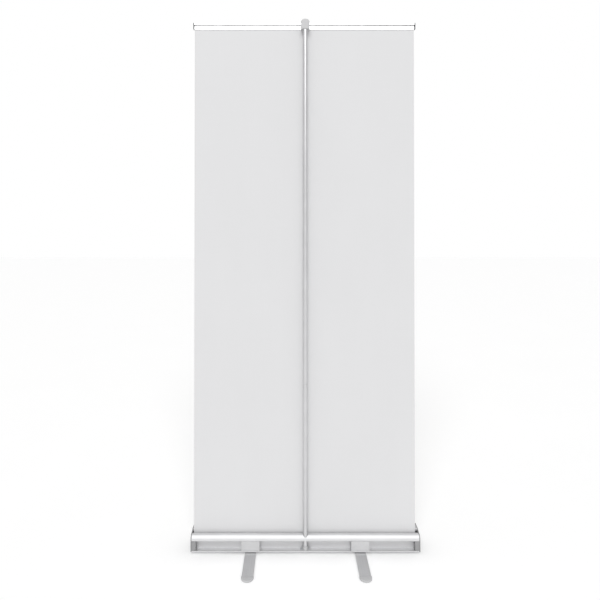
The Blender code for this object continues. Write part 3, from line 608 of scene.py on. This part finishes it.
def extruded_look(axis):
    part = settings().cassette
    return look(f"anodised_aluminium_{axis.lower()}", anodised_aluminium, tuple(part.aluminium), axis, 0.58)


def steel_look():
    return look("zinc_plated_steel", zinc_plated_steel)


def cap_look():
    return look("grey_abs", moulded_plastic, tuple(settings().cassette.plastic), 0.5)


def dark_look():
    return look("dark_abs", moulded_plastic, tuple(settings().pole.dark), 0.48)


# ---------------------------------------------------------------- banner
class STAND_OT_banner(bpy.types.Operator):
    """Hang the film between the roller and the clamp rail"""

    bl_idname = "banner_stand.banner"
    bl_label = "Banner film"

    def execute(self, context):
        values = settings().banner
        low, high = FILM_LOW, FILM_HIGH
        width = high.x - low.x
        height = high.z - low.z
        clear_selection()
        bpy.ops.mesh.primitive_grid_add(
            x_subdivisions=68, y_subdivisions=120, size=1,
            location=(FILM_MIDDLE, FILM_PLANE, (low.z + high.z) / 2), rotation=(math.pi / 2, 0, 0),
        )
        bpy.context.object.scale = (width, height, 1)
        film = settle(named(bpy.context.object, "banner_film"))
        for vertex in film.data.vertices:
            vertex.co.y += self.lean(vertex.co, values, low, high)
        apply_modifier(film, "SOLIDIFY", thickness=values.thickness, offset=0)
        outward(film)
        front = look("banner_film_front", banner_film, tuple(values.front), 0.42, 0.08)
        back = look("banner_film_back", banner_film, tuple(values.back), 0.62, 0.12)
        finish(film, (back, front), "cassette", "banner_film", "banner_graphic", angle=40)
        for face in film.data.polygons:
            face.material_index = 1 if face.normal.y < -0.5 else 0
        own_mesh(film)
        return {"FINISHED"}

    @staticmethod
    def lean(place, values, low, high):
        """The free edges curl towards the back, and not where the clamp and the slot hold the film flat."""
        side = min(place.x - low.x, high.x - place.x)
        curl = max(0.0, 1 - side / values.curl_reach) ** 2
        held_top = min(1.0, max(0.0, (RAIL_LOW.z - 0.02 - place.z) / 0.25))
        held_foot = min(1.0, max(0.0, (place.z - CASING_HIGH.z - 0.02) / 0.25))
        hold = held_top * held_top * (3 - 2 * held_top) * held_foot * held_foot * (3 - 2 * held_foot)
        slow = 0.75 + 0.25 * math.sin(place.z * 5.1 + (1.7 if place.x > 0 else 0.2))
        return values.edge_curl * curl * hold * slow


# ---------------------------------------------------------------- cassette
LIP_RADIUS = 2.5 * MM
LIP_STEPS = 5


def front_shell_outline(inset=0.0, steps=24):
    """The casing's front, from the slot's lip down to the underside, moved inwards by inset."""
    low, high = CASING_LOW, CASING_HIGH
    lip = arc((SLOT_FRONT - LIP_RADIUS, high.z - LIP_RADIUS), LIP_RADIUS, 0, 90, LIP_STEPS)
    arch_centre = (low.y + FRONT_ARCH, high.z - FRONT_ARCH)
    arch = arc(arch_centre, FRONT_ARCH - inset, 90, 180, steps)
    toe_centre = (low.y + FRONT_TOE, low.z + FRONT_TOE)
    toe = arc(toe_centre, FRONT_TOE - inset, 180, 270, steps // 2)
    return lip + arch + toe


def shoulder_arc(inner, start, stop, steps=24):
    """Rear shoulder: a quarter of an ellipse over the open bay."""
    centre_y = RIDGE_FRONT + 0.002
    rise = RIDGE_Z - NOSE_Z
    radii = (CASING_HIGH.y - centre_y - (WALL if inner else 0), rise - (2.2 * WALL if inner else 0))
    ends = []
    for place in (start, stop):
        share = (place - centre_y) / radii[0]
        ends.append(math.degrees(math.acos(max(-1.0, min(1.0, share)))))
    return arc((centre_y, NOSE_Z), radii, ends[0], ends[1], steps)


def casing_profile():
    """Outline of the whole extrusion, once round."""
    low, high = CASING_LOW, CASING_HIGH
    bay_face = BAY_WALL + WALL
    bay = [
        (high.y, low.z), (high.y, low.z + REAR_LIP_HEIGHT),
        (high.y - REAR_LIP_THICK, low.z + REAR_LIP_HEIGHT), (high.y - REAR_LIP_THICK, FLOOR_TOP),
        (bay_face, FLOOR_TOP),
    ]
    under = shoulder_arc(True, bay_face, high.y - WALL)
    bead = [(high.y - WALL / 2, NOSE_Z - 0.001)]
    ridge_rear = RIDGE_FRONT + RIDGE_WIDTH
    over = shoulder_arc(False, high.y, ridge_rear + GROOVE_WIDTH)
    crest = [
        (ridge_rear + GROOVE_WIDTH * 2 / 3, RIDGE_Z - GROOVE_DEPTH),
        (ridge_rear + GROOVE_WIDTH / 3, RIDGE_Z - GROOVE_DEPTH), (ridge_rear, RIDGE_Z),
        (RIDGE_FRONT, RIDGE_Z), (RIDGE_FRONT - 0.0016, VALLEY_Z + 0.0006), (BAY_WALL, VALLEY_Z),
        (BAY_WALL, FLOOR_TOP),
    ]
    inner_toe = arc((low.y + FRONT_TOE, low.z + FRONT_TOE), FRONT_TOE - WALL, 270, 180, 12)
    inner_arch = arc((low.y + FRONT_ARCH, high.z - FRONT_ARCH), FRONT_ARCH - WALL, 180, 90, 24)
    lip = [
        (SLOT_FRONT - WALL, high.z - WALL), (SLOT_FRONT - WALL, high.z - 0.0085),
        (SLOT_FRONT, high.z - 0.0085),
    ]
    return bay + under + bead + over + crest + inner_toe + inner_arch + lip + front_shell_outline()


def cap_profile(inset=0.0):
    """Outline of an end cap: the casing's silhouette with its bay closed. Moved inwards by inset, it is the
    outline of the cap's sunk panel, which passes under the notch behind the slot."""
    low, high = CASING_LOW, CASING_HIGH
    centre_y = RIDGE_FRONT + 0.002
    rear = arc((centre_y, NOSE_Z), (high.y - centre_y - inset, RIDGE_Z - NOSE_Z - inset), 0, 90, 18)
    foot = [(high.y - inset, low.z + inset)]
    shell = front_shell_outline(inset, 18)
    if inset:
        shell = shell[LIP_STEPS + 1 :]
    return foot + rear + shell


class STAND_OT_casing(bpy.types.Operator):
    """Draw the cassette's extrusion, with the pole's hole and the dip in its crest"""

    bl_idname = "banner_stand.casing"
    bl_label = "Casing"

    def execute(self, context):
        values = settings().cassette
        casing = outlined("casing", casing_profile(), "X", CASING_LOW.x, CASING_HIGH.x)
        self.add_ports(casing)
        half = 0.018
        dip = outlined(
            "crest_dip",
            [
                (-half, RIDGE_Z + WALL), (-half * 0.45, VALLEY_Z - 0.0004),
                (half * 0.45, VALLEY_Z - 0.0004), (half, RIDGE_Z + WALL),
            ],
            "Y",
            BAY_WALL + WALL,
            POLE_PLANE,
        )
        cut(casing, dip)
        hole = rod(
            "pole_hole", POLE_RADIUS + 1.2 * MM, NOSE_Z - WALL, CASING_HIGH.z, (0, POLE_PLANE), sides=64
        )
        cut(casing, hole)
        for x in (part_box("foot_bolt_left"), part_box("foot_bolt_right")):
            centre = (x[0].x + x[1].x) / 2
            cut(casing, rod("bolt_hole", PIVOT_HOLE, 0, FLOOR_TOP + WALL, (centre, 0)))
        round_edges(casing, values.edge, 2, 40)
        finish(casing, extruded_look("X"), "cassette", "anodised_aluminium", "casing_extrusion", angle=30)
        return {"FINISHED"}

    @staticmethod
    def add_ports(casing):
        """Ports inside the front shell that the end caps' screws bite in."""
        for level in ("upper", "lower"):
            low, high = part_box(f"end_cap_screw_left_{level}")
            place = ((low.y + high.y) / 2, (low.z + high.z) / 2)
            ends = (CASING_LOW.x + GAP, CASING_HIGH.x - GAP)
            unite(casing, rod("port", SCREW_PORT, *ends, place, "X", 32))
            cut(casing, rod("port_bore", 1.8 * MM, -1, 1, place, "X", 24))


class STAND_OT_end_caps(bpy.types.Operator):
    """Mould the end caps and the blocks that fill the bay over the feet"""

    bl_idname = "banner_stand.end_caps"
    bl_label = "End caps and blocks"

    def execute(self, context):
        cap = self.make_left_cap(settings().cassette)
        caps = {"left": cap, "right": mirrored(cap, "end_cap_right_moulding")}
        for side, each in caps.items():
            finish(each, cap_look(), "cassette", "grey_plastic", f"end_cap_{side}", angle=35)
            self.make_block(side)
        return {"FINISHED"}

    def make_left_cap(self, values):
        """An end plate with a plug in the bay and holes for its two screws."""
        low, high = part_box("end_cap_left")
        plate_inner = high.x - CAP_PLATE
        cap = outlined("end_cap_left_moulding", cap_profile(), "X", plate_inner, high.x)
        round_edges(cap, values.cap_edge, 3, 50, "MITER_SHARP")
        ends = (high.x - PANEL_DEPTH, high.x + PANEL_DEPTH)
        panel = outlined("cap_panel", cap_profile(PANEL_INSET), "X", *ends)
        round_edges(panel, 0.5 * PANEL_DEPTH, 2, 50)
        cut(cap, panel)
        plug = box(
            "bay_plug", (low.x, BAY_WALL + WALL + GAP, FLOOR_TOP + GAP),
            (plate_inner + OVER, CASING_HIGH.y - REAR_LIP_THICK - GAP, NOSE_Z - WALL),
        )
        round_edges(plug, 0.5 * MM, 2, 50)
        unite(cap, plug)
        for level in ("upper", "lower"):
            screw_low, screw_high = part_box(f"end_cap_screw_left_{level}")
            centre = (screw_low + screw_high) / 2
            hole = rod("cap_hole", 1.9 * MM, low.x, high.x + OVER, (centre.y, centre.z), "X", 24)
            cut(cap, hole)
        return cap

    @staticmethod
    def make_block(side):
        low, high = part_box(f"bay_block_{side}")
        block = box(f"bay_block_{side}_moulding", low, high)
        # The face is proud above the casing's rear lip, so the block steps back below it.
        step = CASING_LOW.z + REAR_LIP_HEIGHT + GAP
        lip = box(
            "lip_step", (low.x - OVER, CASING_HIGH.y - REAR_LIP_THICK - GAP, low.z - OVER),
            (high.x + OVER, high.y + OVER, step),
        )
        cut(block, lip)
        edit(block)
        rear = high.y - 0.1 * MM
        select_faces(block, lambda centre, normal: normal.y > 0.9 and centre.z > step and centre.y > rear)
        bpy.ops.mesh.inset(thickness=2.2 * MM, depth=0)
        bpy.ops.mesh.inset(thickness=0.4 * MM, depth=-0.4 * MM)
        leave_edit()
        round_edges(block, 0.7 * MM, 3, 50)
        pale = look("pale_abs", moulded_plastic, linear("bebebf"), 0.42)
        finish(block, pale, "cassette", "grey_plastic", f"bay_block_{side}", angle=35)


# ---------------------------------------------------------------- screws and bolts
def cross_head_screw(name, low, high, radius, head, head_thick, place, axis, outward_sign):
    """A pan-head screw with a cross recess."""
    tip, top = (low, high) if outward_sign > 0 else (high, low)
    sign = outward_sign
    shoulder = top - sign * head_thick
    profile = [
        (0, top), (head * 0.45, top), (head * 0.78, top - sign * head_thick * 0.14),
        (head * 0.95, top - sign * head_thick * 0.42), (head, top - sign * head_thick * 0.75),
        (head, shoulder), (radius, shoulder), (radius, tip + sign * radius), (0, tip),
    ]
    screw = turned(name, profile, place, axis, 32)
    first, second = ACROSS[axis]
    run = "XYZ".index(axis)
    for turn in (0, 1):
        size = [0, 0, 0]
        size[run] = head_thick * 1.1
        size[first] = head * (1.1 if turn else 0.3)
        size[second] = head * (0.3 if turn else 1.1)
        middle = [0, 0, 0]
        middle[run] = top
        middle[first], middle[second] = place
        low_corner = [m - s / 2 for m, s in zip(middle, size)]
        high_corner = [m + s / 2 for m, s in zip(middle, size)]
        slot = box("cross_slot", low_corner, high_corner)
        cut(screw, slot)
    return screw


class STAND_OT_fasteners(bpy.types.Operator):
    """Make the screws, the foot bolts and their nuts"""

    bl_idname = "banner_stand.fasteners"
    bl_label = "Fasteners"

    def execute(self, context):
        for side, sign in SIDES.items():
            for level in ("upper", "lower"):
                node = f"end_cap_screw_{side}_{level}"
                low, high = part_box(node)
                centre = (low + high) / 2
                screw = cross_head_screw(
                    node + "_finished", low.x, high.x, 1.5 * MM, (high.y - low.y) / 2, 1.6 * MM,
                    (centre.y, centre.z), "X", sign,
                )
                finish(screw, steel_look(), "cassette", "zinc_steel", node)
            node = f"pole_cup_screw_{side}"
            low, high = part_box(node)
            centre = (low + high) / 2
            screw = cross_head_screw(
                node + "_finished", low.z, high.z, 1.3 * MM, (high.x - low.x) / 2, 1.5 * MM,
                (centre.x, centre.y), "Z", 1,
            )
            finish(screw, steel_look(), "cassette", "zinc_steel", node)
            self.make_pivot(side)
        return {"FINISHED"}

    @staticmethod
    def make_pivot(side):
        low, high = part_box(f"foot_bolt_{side}")
        x = (low.x + high.x) / 2
        head = (high.x - low.x) / 2
        shank = 3.0 * MM
        head_thick = 1.6 * MM
        profile = [
            (0, high.z), (shank - 0.4 * MM, high.z), (shank, high.z - 0.4 * MM),
            (shank, low.z + head_thick), (head, low.z + head_thick), (head, low.z + head_thick * 0.55),
            (head * 0.9, low.z + head_thick * 0.15), (head * 0.8, low.z), (0, low.z),
        ]
        bolt = turned(f"foot_bolt_{side}_finished", profile, (x, 0), "Z", 40)
        key = rod("hex_key", 2.3 * MM, low.z - OVER, low.z + 1.1 * MM, (x, 0), sides=6)
        cut(bolt, key)
        finish(bolt, steel_look(), "cassette", "zinc_steel", f"foot_bolt_{side}")
        low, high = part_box(f"foot_nut_{side}")
        radius = (high.x - low.x) / 2
        hexagon = arc((x, 0), radius, 0, 300, 5)
        nut = outlined(f"foot_nut_{side}_finished", hexagon, "Z", low.z, high.z)
        round_edges(nut, 0.35 * MM, 2, 30)
        bore = rod("nut_bore", shank + GAP, low.z - OVER, high.z + OVER, (x, 0), sides=32)
        cut(nut, bore)
        finish(nut, steel_look(), "cassette", "zinc_steel", f"foot_nut_{side}")


# ---------------------------------------------------------------- feet
def stadium(x, half_length, half_width, steps=32):
    """A bar's outline with round ends, along Y."""
    straight = half_length - half_width
    return arc((x, straight), half_width, 0, 180, steps) + arc(
        (x, -straight), half_width, 180, 360, steps
    )


class STAND_OT_feet(bpy.types.Operator):
    """Make the two flat feet with their moulded tips"""

    bl_idname = "banner_stand.feet"
    bl_label = "Feet"

    def execute(self, context):
        values = settings().feet
        bar_look = look("anodised_aluminium_feet", anodised_aluminium, tuple(values.aluminium), "Y", 0.42)
        tip_look = look("grey_abs_tips", moulded_plastic, tuple(values.plastic), 0.5)
        for side in SIDES:
            low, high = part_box(f"foot_bar_{side}")
            x = (low.x + high.x) / 2
            bar = outlined(
                f"foot_bar_{side}_finished", stadium(x, (high.y - low.y) / 2, (high.x - low.x) / 2), "Z",
                low.z, high.z,
            )
            cut(bar, rod("pivot_hole", PIVOT_HOLE, low.z - OVER, high.z + OVER, (x, 0)))
            round_edges(bar, values.edge, 3, 50)
            finish(bar, bar_look, f"foot_{side}", "anodised_aluminium", f"foot_bar_{side}")
            for end in ("rear", "front"):
                self.make_tip(side, end, x, (low, high), values, tip_look)
        return {"FINISHED"}

    @staticmethod
    def make_tip(side, end, x, bar, values, tip_look):
        """A shoe over the bar's end, with a line across it behind its mouth and grooves under its sole."""
        node = f"foot_tip_{side}_{end}"
        low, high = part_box(node)
        sign = 1 if end == "rear" else -1
        mouth = low.y if sign > 0 else high.y
        point = high.y if sign > 0 else low.y
        radius = (high.x - low.x) / 2
        if sign > 0:
            outline = arc((x, point - radius), radius, 0, 180, 32)
        else:
            outline = arc((x, point + radius), radius, 180, 360, 32)
        outline += [(x - sign * radius, mouth), (x + sign * radius, mouth)]
        shoe = outlined(node + "_moulding", outline, "Z", low.z, high.z)
        round_edges(shoe, values.tip_edge, 4, 60)
        bar_low, bar_high = bar
        pocket = outlined(
            "tip_pocket",
            stadium(x, (bar_high.y - bar_low.y) / 2 + GAP, (bar_high.x - bar_low.x) / 2 + GAP), "Z",
            bar_low.z - GAP, bar_high.z + GAP,
        )
        cut(shoe, pocket)
        y = mouth + sign * 3 * MM
        line = box(
            "rim_line", (low.x - OVER, y - 0.7 * MM, high.z - 0.5 * MM),
            (high.x + OVER, y + 0.7 * MM, high.z + OVER),
        )
        cut(shoe, line)
        for rib in range(3):
            y = mouth + sign * (6 + 4 * rib) * MM
            groove = box(
                "sole_groove", (x - 14 * MM, y - 0.7 * MM, low.z - OVER),
                (x + 14 * MM, y + 0.7 * MM, low.z + 0.8 * MM),
            )
            cut(shoe, groove)
        finish(shoe, tip_look, f"foot_{side}", "grey_plastic", node, angle=35)


# ---------------------------------------------------------------- pole
class STAND_OT_pole(bpy.types.Operator):
    """Make the pole's three sections and the cup that it stands in"""

    bl_idname = "banner_stand.pole"
    bl_label = "Pole"

    def execute(self, context):
        values = settings().pole
        tube_look = look("anodised_aluminium_tube", anodised_aluminium, tuple(values.aluminium), "Z", 0.42)
        place = (0, POLE_PLANE)
        bore = POLE_RADIUS - 0.9 * MM
        for level in ("lower", "middle", "upper"):
            low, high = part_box(f"pole_section_{level}")
            seam = values.seam
            profile = [
                (bore, high.z), (POLE_RADIUS - seam, high.z),
                (POLE_RADIUS - 0.3 * seam, high.z - 0.3 * seam), (POLE_RADIUS, high.z - seam),
                (POLE_RADIUS, low.z + seam), (POLE_RADIUS - 0.3 * seam, low.z + 0.3 * seam),
                (POLE_RADIUS - seam, low.z), (bore, low.z),
            ]
            section = turned(f"pole_section_{level}_finished", profile, place, "Z", 64)
            finish(section, tube_look, "cassette", "anodised_aluminium", f"pole_section_{level}")
        self.make_cup(place)
        return {"FINISHED"}

    @staticmethod
    def make_cup(place):
        low, high = CUP_LOW, CUP_HIGH
        base_top = low.z + 2.5 * MM
        base = box("pole_cup_moulding", low, (high.x, high.y, base_top))
        round_edges(base, 0.8 * MM, 3, 50)
        outer = POLE_RADIUS + 1.9 * MM
        profile = [
            (0, high.z), (outer - 0.5 * MM, high.z), (outer, high.z - 0.5 * MM),
            (outer, low.z + 1.6 * MM), (0, low.z + 1.6 * MM),
        ]
        unite(base, turned("cup_wall", profile, place, "Z", 56))
        bore = rod("cup_bore", POLE_RADIUS + GAP, low.z + 0.95 * MM, high.z + OVER, place, sides=64)
        cut(base, bore)
        for side in SIDES:
            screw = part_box(f"pole_cup_screw_{side}")
            x = (screw[0].x + screw[1].x) / 2
            hole = rod("cup_hole", 1.6 * MM, low.z - OVER, high.z, (x, POLE_PLANE), sides=24)
            cut(base, hole)
        cup_look = look("grey_abs_cup", moulded_plastic, tuple(settings().pole.cup), 0.5)
        finish(base, cup_look, "cassette", "grey_plastic", "pole_cup", angle=35)


class STAND_OT_head(bpy.types.Operator):
    """Mould the head that the clamp rail hangs on"""

    bl_idname = "banner_stand.head"
    bl_label = "Pole head"

    def execute(self, context):
        values = settings().pole
        low, high = HEAD_LOW, HEAD_HIGH
        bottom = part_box("pole_section_upper")[1].z + GAP
        half = (high.x - low.x) / 2
        corner = 6 * MM
        crown = 14.5 * MM
        outline = arc((half - corner, bottom + corner), corner, -60, 0, 8)
        outline += arc((half - crown, high.z - crown), crown, 15, 90, 16)
        outline += arc((crown - half, high.z - crown), crown, 90, 165, 16)[1:]
        outline += arc((corner - half, bottom + corner), corner, 180, 240, 8)
        outline += [(-POLE_RADIUS, bottom), (POLE_RADIUS, bottom)]
        front = RAIL_HIGH.y + GAP
        head = outlined("pole_head_moulding", outline, "Y", front, high.y)
        edit(head)
        select_faces(head, lambda centre, normal: normal.y > 0.9)
        bpy.ops.mesh.inset(thickness=3.2 * MM, depth=0)
        leave_edit()
        round_edges(head, 2.6 * MM, 5, 50)
        hook = 12 * MM
        web_back = low.y
        flange_z = HEAD_HIGH.z - 16.5 * MM
        bridge = box(
            "head_bridge", (-hook, web_back, bottom + corner),
            (hook, RAIL_HIGH.y + 3 * MM, flange_z - GAP),
        )
        round_edges(bridge, 0.8 * MM, 3, 50)
        unite(head, bridge)
        lip = box(
            "head_lip", (-hook, web_back, flange_z - 4 * MM),
            (hook, RAIL_HIGH.y - 1.9 * MM, RAIL_HIGH.z - 3.6 * MM),
        )
        round_edges(lip, 0.6 * MM, 3, 50)
        unite(head, lip)
        spigot = rod("head_spigot", POLE_RADIUS - 1.2 * MM, low.z, bottom + 6 * MM, (0, POLE_PLANE), sides=32)
        unite(head, spigot)
        head_look = look("pale_abs_head", moulded_plastic, tuple(values.head), 0.4)
        finish(head, head_look, "cassette", "grey_plastic", "pole_top_head", angle=40)
        return {"FINISHED"}


# ---------------------------------------------------------------- clamp rail
def rail_profile():
    """Rear half of the rail: top plate, web behind the film, and the flange that hangs on the pole's head."""
    low, high = RAIL_LOW, RAIL_HIGH
    corner = 1.5 * MM
    plate_z = high.z - 3 * MM
    web_front = FILM_HIGH.y + GAP
    rear_corner = arc((high.y - corner, high.z - corner), corner, 0, 90, 8)
    front_corner = arc((low.y + corner, high.z - corner), corner, 90, 180, 8)
    hinge_lip = [
        (low.y, plate_z - 1.2 * MM), (low.y + 0.6 * MM, plate_z - 1.2 * MM), (low.y + 0.9 * MM, plate_z),
    ]
    web_rear = web_front + 2 * MM
    web = [(web_front, plate_z), (web_front, low.z), (web_rear, low.z), (web_rear, plate_z)]
    flange_z = high.z - FLANGE_DROP
    flange = [(high.y - 1.6 * MM, plate_z), (high.y - 1.6 * MM, flange_z), (high.y, flange_z)]
    return rear_corner + front_corner + hinge_lip + web + flange


def smooth_line(points, steps=4):
    """A rounder line through a row of points."""
    line = []
    for index in range(len(points) - 1):
        before = Vector(points[max(0, index - 1)])
        here = Vector(points[index])
        there = Vector(points[index + 1])
        after = Vector(points[min(len(points) - 1, index + 2)])
        for step in range(steps):
            t = step / steps
            spot = 0.5 * (
                2 * here
                + (there - before) * t
                + (2 * before - 5 * here + 4 * there - after) * t * t
                + (3 * here - before - 3 * there + after) * t * t * t
            )
            line.append((spot.x, spot.y))
    line.append(tuple(points[-1]))
    return line


def jaw_profile():
    """Front half of the rail: a hollow bow that turns on its top bead and grips with its lower edge."""
    low = JAW_LOW
    hinge = (FILM_PLANE - 1.8 * MM, RAIL_HIGH.z - 5.7 * MM)
    radius = 1.6 * MM
    bead = arc(hinge, radius, -40, 220, 20)
    grip = FILM_LOW.y - GAP
    outer = smooth_line(
        [
            (low.y + 2.0 * MM, hinge[1] - 3.6 * MM), (low.y + 0.5 * MM, hinge[1] - 7.0 * MM),
            (low.y, hinge[1] - 10.5 * MM), (low.y + 0.6 * MM, hinge[1] - 14.5 * MM),
            (low.y + 2.6 * MM, low.z + 0.6 * MM), (low.y + 4.0 * MM, low.z),
        ]
    )
    inner = smooth_line(
        [
            (low.y + 4.0 * MM, low.z + 3.6 * MM), (low.y + 2.0 * MM, hinge[1] - 11.5 * MM),
            (low.y + 2.4 * MM, hinge[1] - 7.0 * MM), (low.y + 5.0 * MM, hinge[1] - 3.0 * MM),
        ]
    )
    return bead + outer + [(grip, low.z), (grip, low.z + 3.0 * MM)] + inner


class STAND_OT_rail(bpy.types.Operator):
    """Draw the clamp rail, its jaw and its end caps"""

    bl_idname = "banner_stand.rail"
    bl_label = "Clamp rail"

    def execute(self, context):
        values = settings().rail
        rail_look = look("anodised_aluminium_rail", anodised_aluminium, tuple(values.aluminium), "X", 0.34)
        body = outlined("clamp_rail_body", rail_profile(), "X", RAIL_LOW.x, RAIL_HIGH.x)
        round_edges(body, values.edge, 2, 50)
        finish(body, rail_look, "rail", "anodised_aluminium", "top_rail_body")
        jaw = outlined("clamp_rail_jaw", jaw_profile(), "X", JAW_LOW.x, JAW_HIGH.x)
        finish(jaw, rail_look, "jaw", "anodised_aluminium", "top_rail_jaw", angle=40)
        for side, sign in SIDES.items():
            self.make_cap(side, sign)
        return {"FINISHED"}

    @staticmethod
    def make_cap(side, sign):
        node = f"rail_end_cap_{side}"
        low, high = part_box(node)
        corner = 1.8 * MM
        brow = 4 * MM
        outline = arc((high.y - corner, high.z - corner), corner, 0, 90, 8)
        outline += arc((low.y + brow, high.z - brow), brow, 90, 180, 12)
        outline += [(low.y, low.z + brow), (low.y + 3 * MM, low.z), (high.y, low.z)]
        outer = high.x if sign > 0 else low.x
        inner = outer - sign * CAP_PLATE
        cap = outlined(node + "_moulding", outline, "X", *sorted((inner, outer)))
        round_edges(cap, 0.8 * MM, 3, 40)
        tongue_end = low.x if sign > 0 else high.x
        web_back = FILM_HIGH.y + 2.6 * MM
        ends = sorted((tongue_end, inner + sign * OVER))
        tongue = box(
            "rail_tongue", (ends[0], web_back, high.z - FLANGE_DROP),
            (ends[1], high.y - 1.9 * MM, high.z - 3.3 * MM),
        )
        unite(cap, tongue)
        finish(cap, dark_look(), "rail", "dark_plastic", node, angle=35)


# ---------------------------------------------------------------- pieces that keep the frame's shape
class STAND_OT_inner_finishes(bpy.types.Operator):
    """Give the roller, its spring and the pole's inner pieces their finishes"""

    bl_idname = "banner_stand.inner_finishes"
    bl_label = "Inner finishes"

    def execute(self, context):
        tube = extruded_look("X")
        film = look("wound_banner_film", wound_film, tuple(settings().banner.back))
        cord = look("braided_elastic", braided_elastic)
        finishes = {"roller_tube": tube, "wound_banner": film, "pole_cord": cord}
        dark = ("roller_plug_idle", "roller_plug_spring", "arbor_support_bush", "pole_foot_plug")
        steel = ("idle_axle", "spring_arbor", "spring_collar", "torsion_spring")
        steel += ("pole_spigot_lower", "pole_spigot_upper")
        washers = ("foot_washer_left", "foot_washer_right")
        for names, same_look in ((dark, dark_look()), (steel, steel_look()), (washers, cap_look())):
            finishes.update(dict.fromkeys(names, same_look))
        for name, finish_look in finishes.items():
            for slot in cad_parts[name].material_slots:
                slot.material = finish_look
        return {"FINISHED"}


# ---------------------------------------------------------------- stage
class STAND_OT_stage(bpy.types.Operator):
    """Lay the floor, set the soft lights and place the camera"""

    bl_idname = "banner_stand.stage"
    bl_label = "Studio"

    def execute(self, context):
        values = settings().stage
        clear_selection()
        bpy.ops.mesh.primitive_plane_add(size=FLOOR_SIZE, location=(0, 0, -FLOOR_DROP))
        floor = settle(named(bpy.context.object, "studio_floor"))
        floor.data.materials.append(look("studio_floor", painted_floor, tuple(values.floor)))
        self.surround(values.fill)
        self.key_light(values)
        self.place_camera(values)
        context.scene.view_settings.view_transform = "Standard"
        return {"FINISHED"}

    @staticmethod
    def surround(strength):
        """A white backdrop all round that gives the stand less light than its own brightness."""
        world = bpy.data.worlds.new("studio_surround")
        world.use_nodes = True
        tree = world.node_tree
        background = tree.nodes["Background"]
        seen = add_node(tree, "ShaderNodeLightPath").outputs["Is Camera Ray"]
        inputs = {"Value": seen, "To Min": strength, "To Max": 1.0}
        level = add_node(tree, "ShaderNodeMapRange", inputs=inputs)
        background.inputs["Color"].default_value = (1, 1, 1, 1)
        tree.links.new(level.outputs[0], background.inputs["Strength"])
        bpy.context.scene.world = world

    @staticmethod
    def key_light(values):
        """One broad light high behind the camera."""
        clear_selection()
        bpy.ops.object.light_add(
            type="SUN", location=(1, 3, 3),
            rotation=(math.radians(90) - values.key_height, 0, math.pi - values.key_side),
        )
        lamp = bpy.context.object
        lamp.name = "key_light"
        lamp.data.energy = values.key
        lamp.data.angle = values.key_size

    @staticmethod
    def place_camera(values):
        clear_selection()
        bpy.ops.object.camera_add(
            location=(values.aside, values.distance, values.height),
            rotation=(math.pi / 2 + values.tilt, 0, math.pi),
        )
        camera = bpy.context.object
        camera.name = "studio_camera"
        camera.data.lens = values.lens
        camera.data.sensor_width = SENSOR_WIDTH
        camera.data.shift_x, camera.data.shift_y = LENS_SHIFT
        bpy.context.scene.camera = camera


class STAND_PT_panel(bpy.types.Panel):
    """Banner stand pieces and sizes"""

    bl_label = "Banner stand"
    bl_space_type = "VIEW_3D"
    bl_region_type = "UI"
    bl_category = "Banner stand"

    def draw(self, context):
        for kind in OPERATORS:
            self.layout.operator(kind.bl_idname)
        for group in ("banner", "cassette", "feet", "pole", "rail", "stage"):
            part = getattr(settings(), group)
            column = self.layout.column(heading=group.capitalize())
            for name in part.__annotations__:
                column.prop(part, name)


GROUPS = (
    BannerSettings,
    CassetteSettings,
    FootSettings,
    PoleSettings,
    RailSettings,
    StageSettings,
    StandSettings,
)
OPERATORS = (
    STAND_OT_stage,
    STAND_OT_banner,
    STAND_OT_casing,
    STAND_OT_end_caps,
    STAND_OT_fasteners,
    STAND_OT_feet,
    STAND_OT_pole,
    STAND_OT_head,
    STAND_OT_rail,
    STAND_OT_inner_finishes,
)


def register():
    for kind in GROUPS + OPERATORS + (STAND_PT_panel,):
        bpy.utils.register_class(kind)
    bpy.types.Scene.banner_stand = bpy.props.PointerProperty(type=StandSettings)


def unregister():
    del bpy.types.Scene.banner_stand
    for kind in reversed(GROUPS + OPERATORS + (STAND_PT_panel,)):
        bpy.utils.unregister_class(kind)


def main():
    register()
    bpy.ops.banner_stand.stage()
    bpy.ops.banner_stand.banner()
    bpy.ops.banner_stand.casing()
    bpy.ops.banner_stand.end_caps()
    bpy.ops.banner_stand.fasteners()
    bpy.ops.banner_stand.feet()
    bpy.ops.banner_stand.pole()
    bpy.ops.banner_stand.head()
    bpy.ops.banner_stand.rail()
    bpy.ops.banner_stand.inner_finishes()


if __name__ == "__main__":
    main()
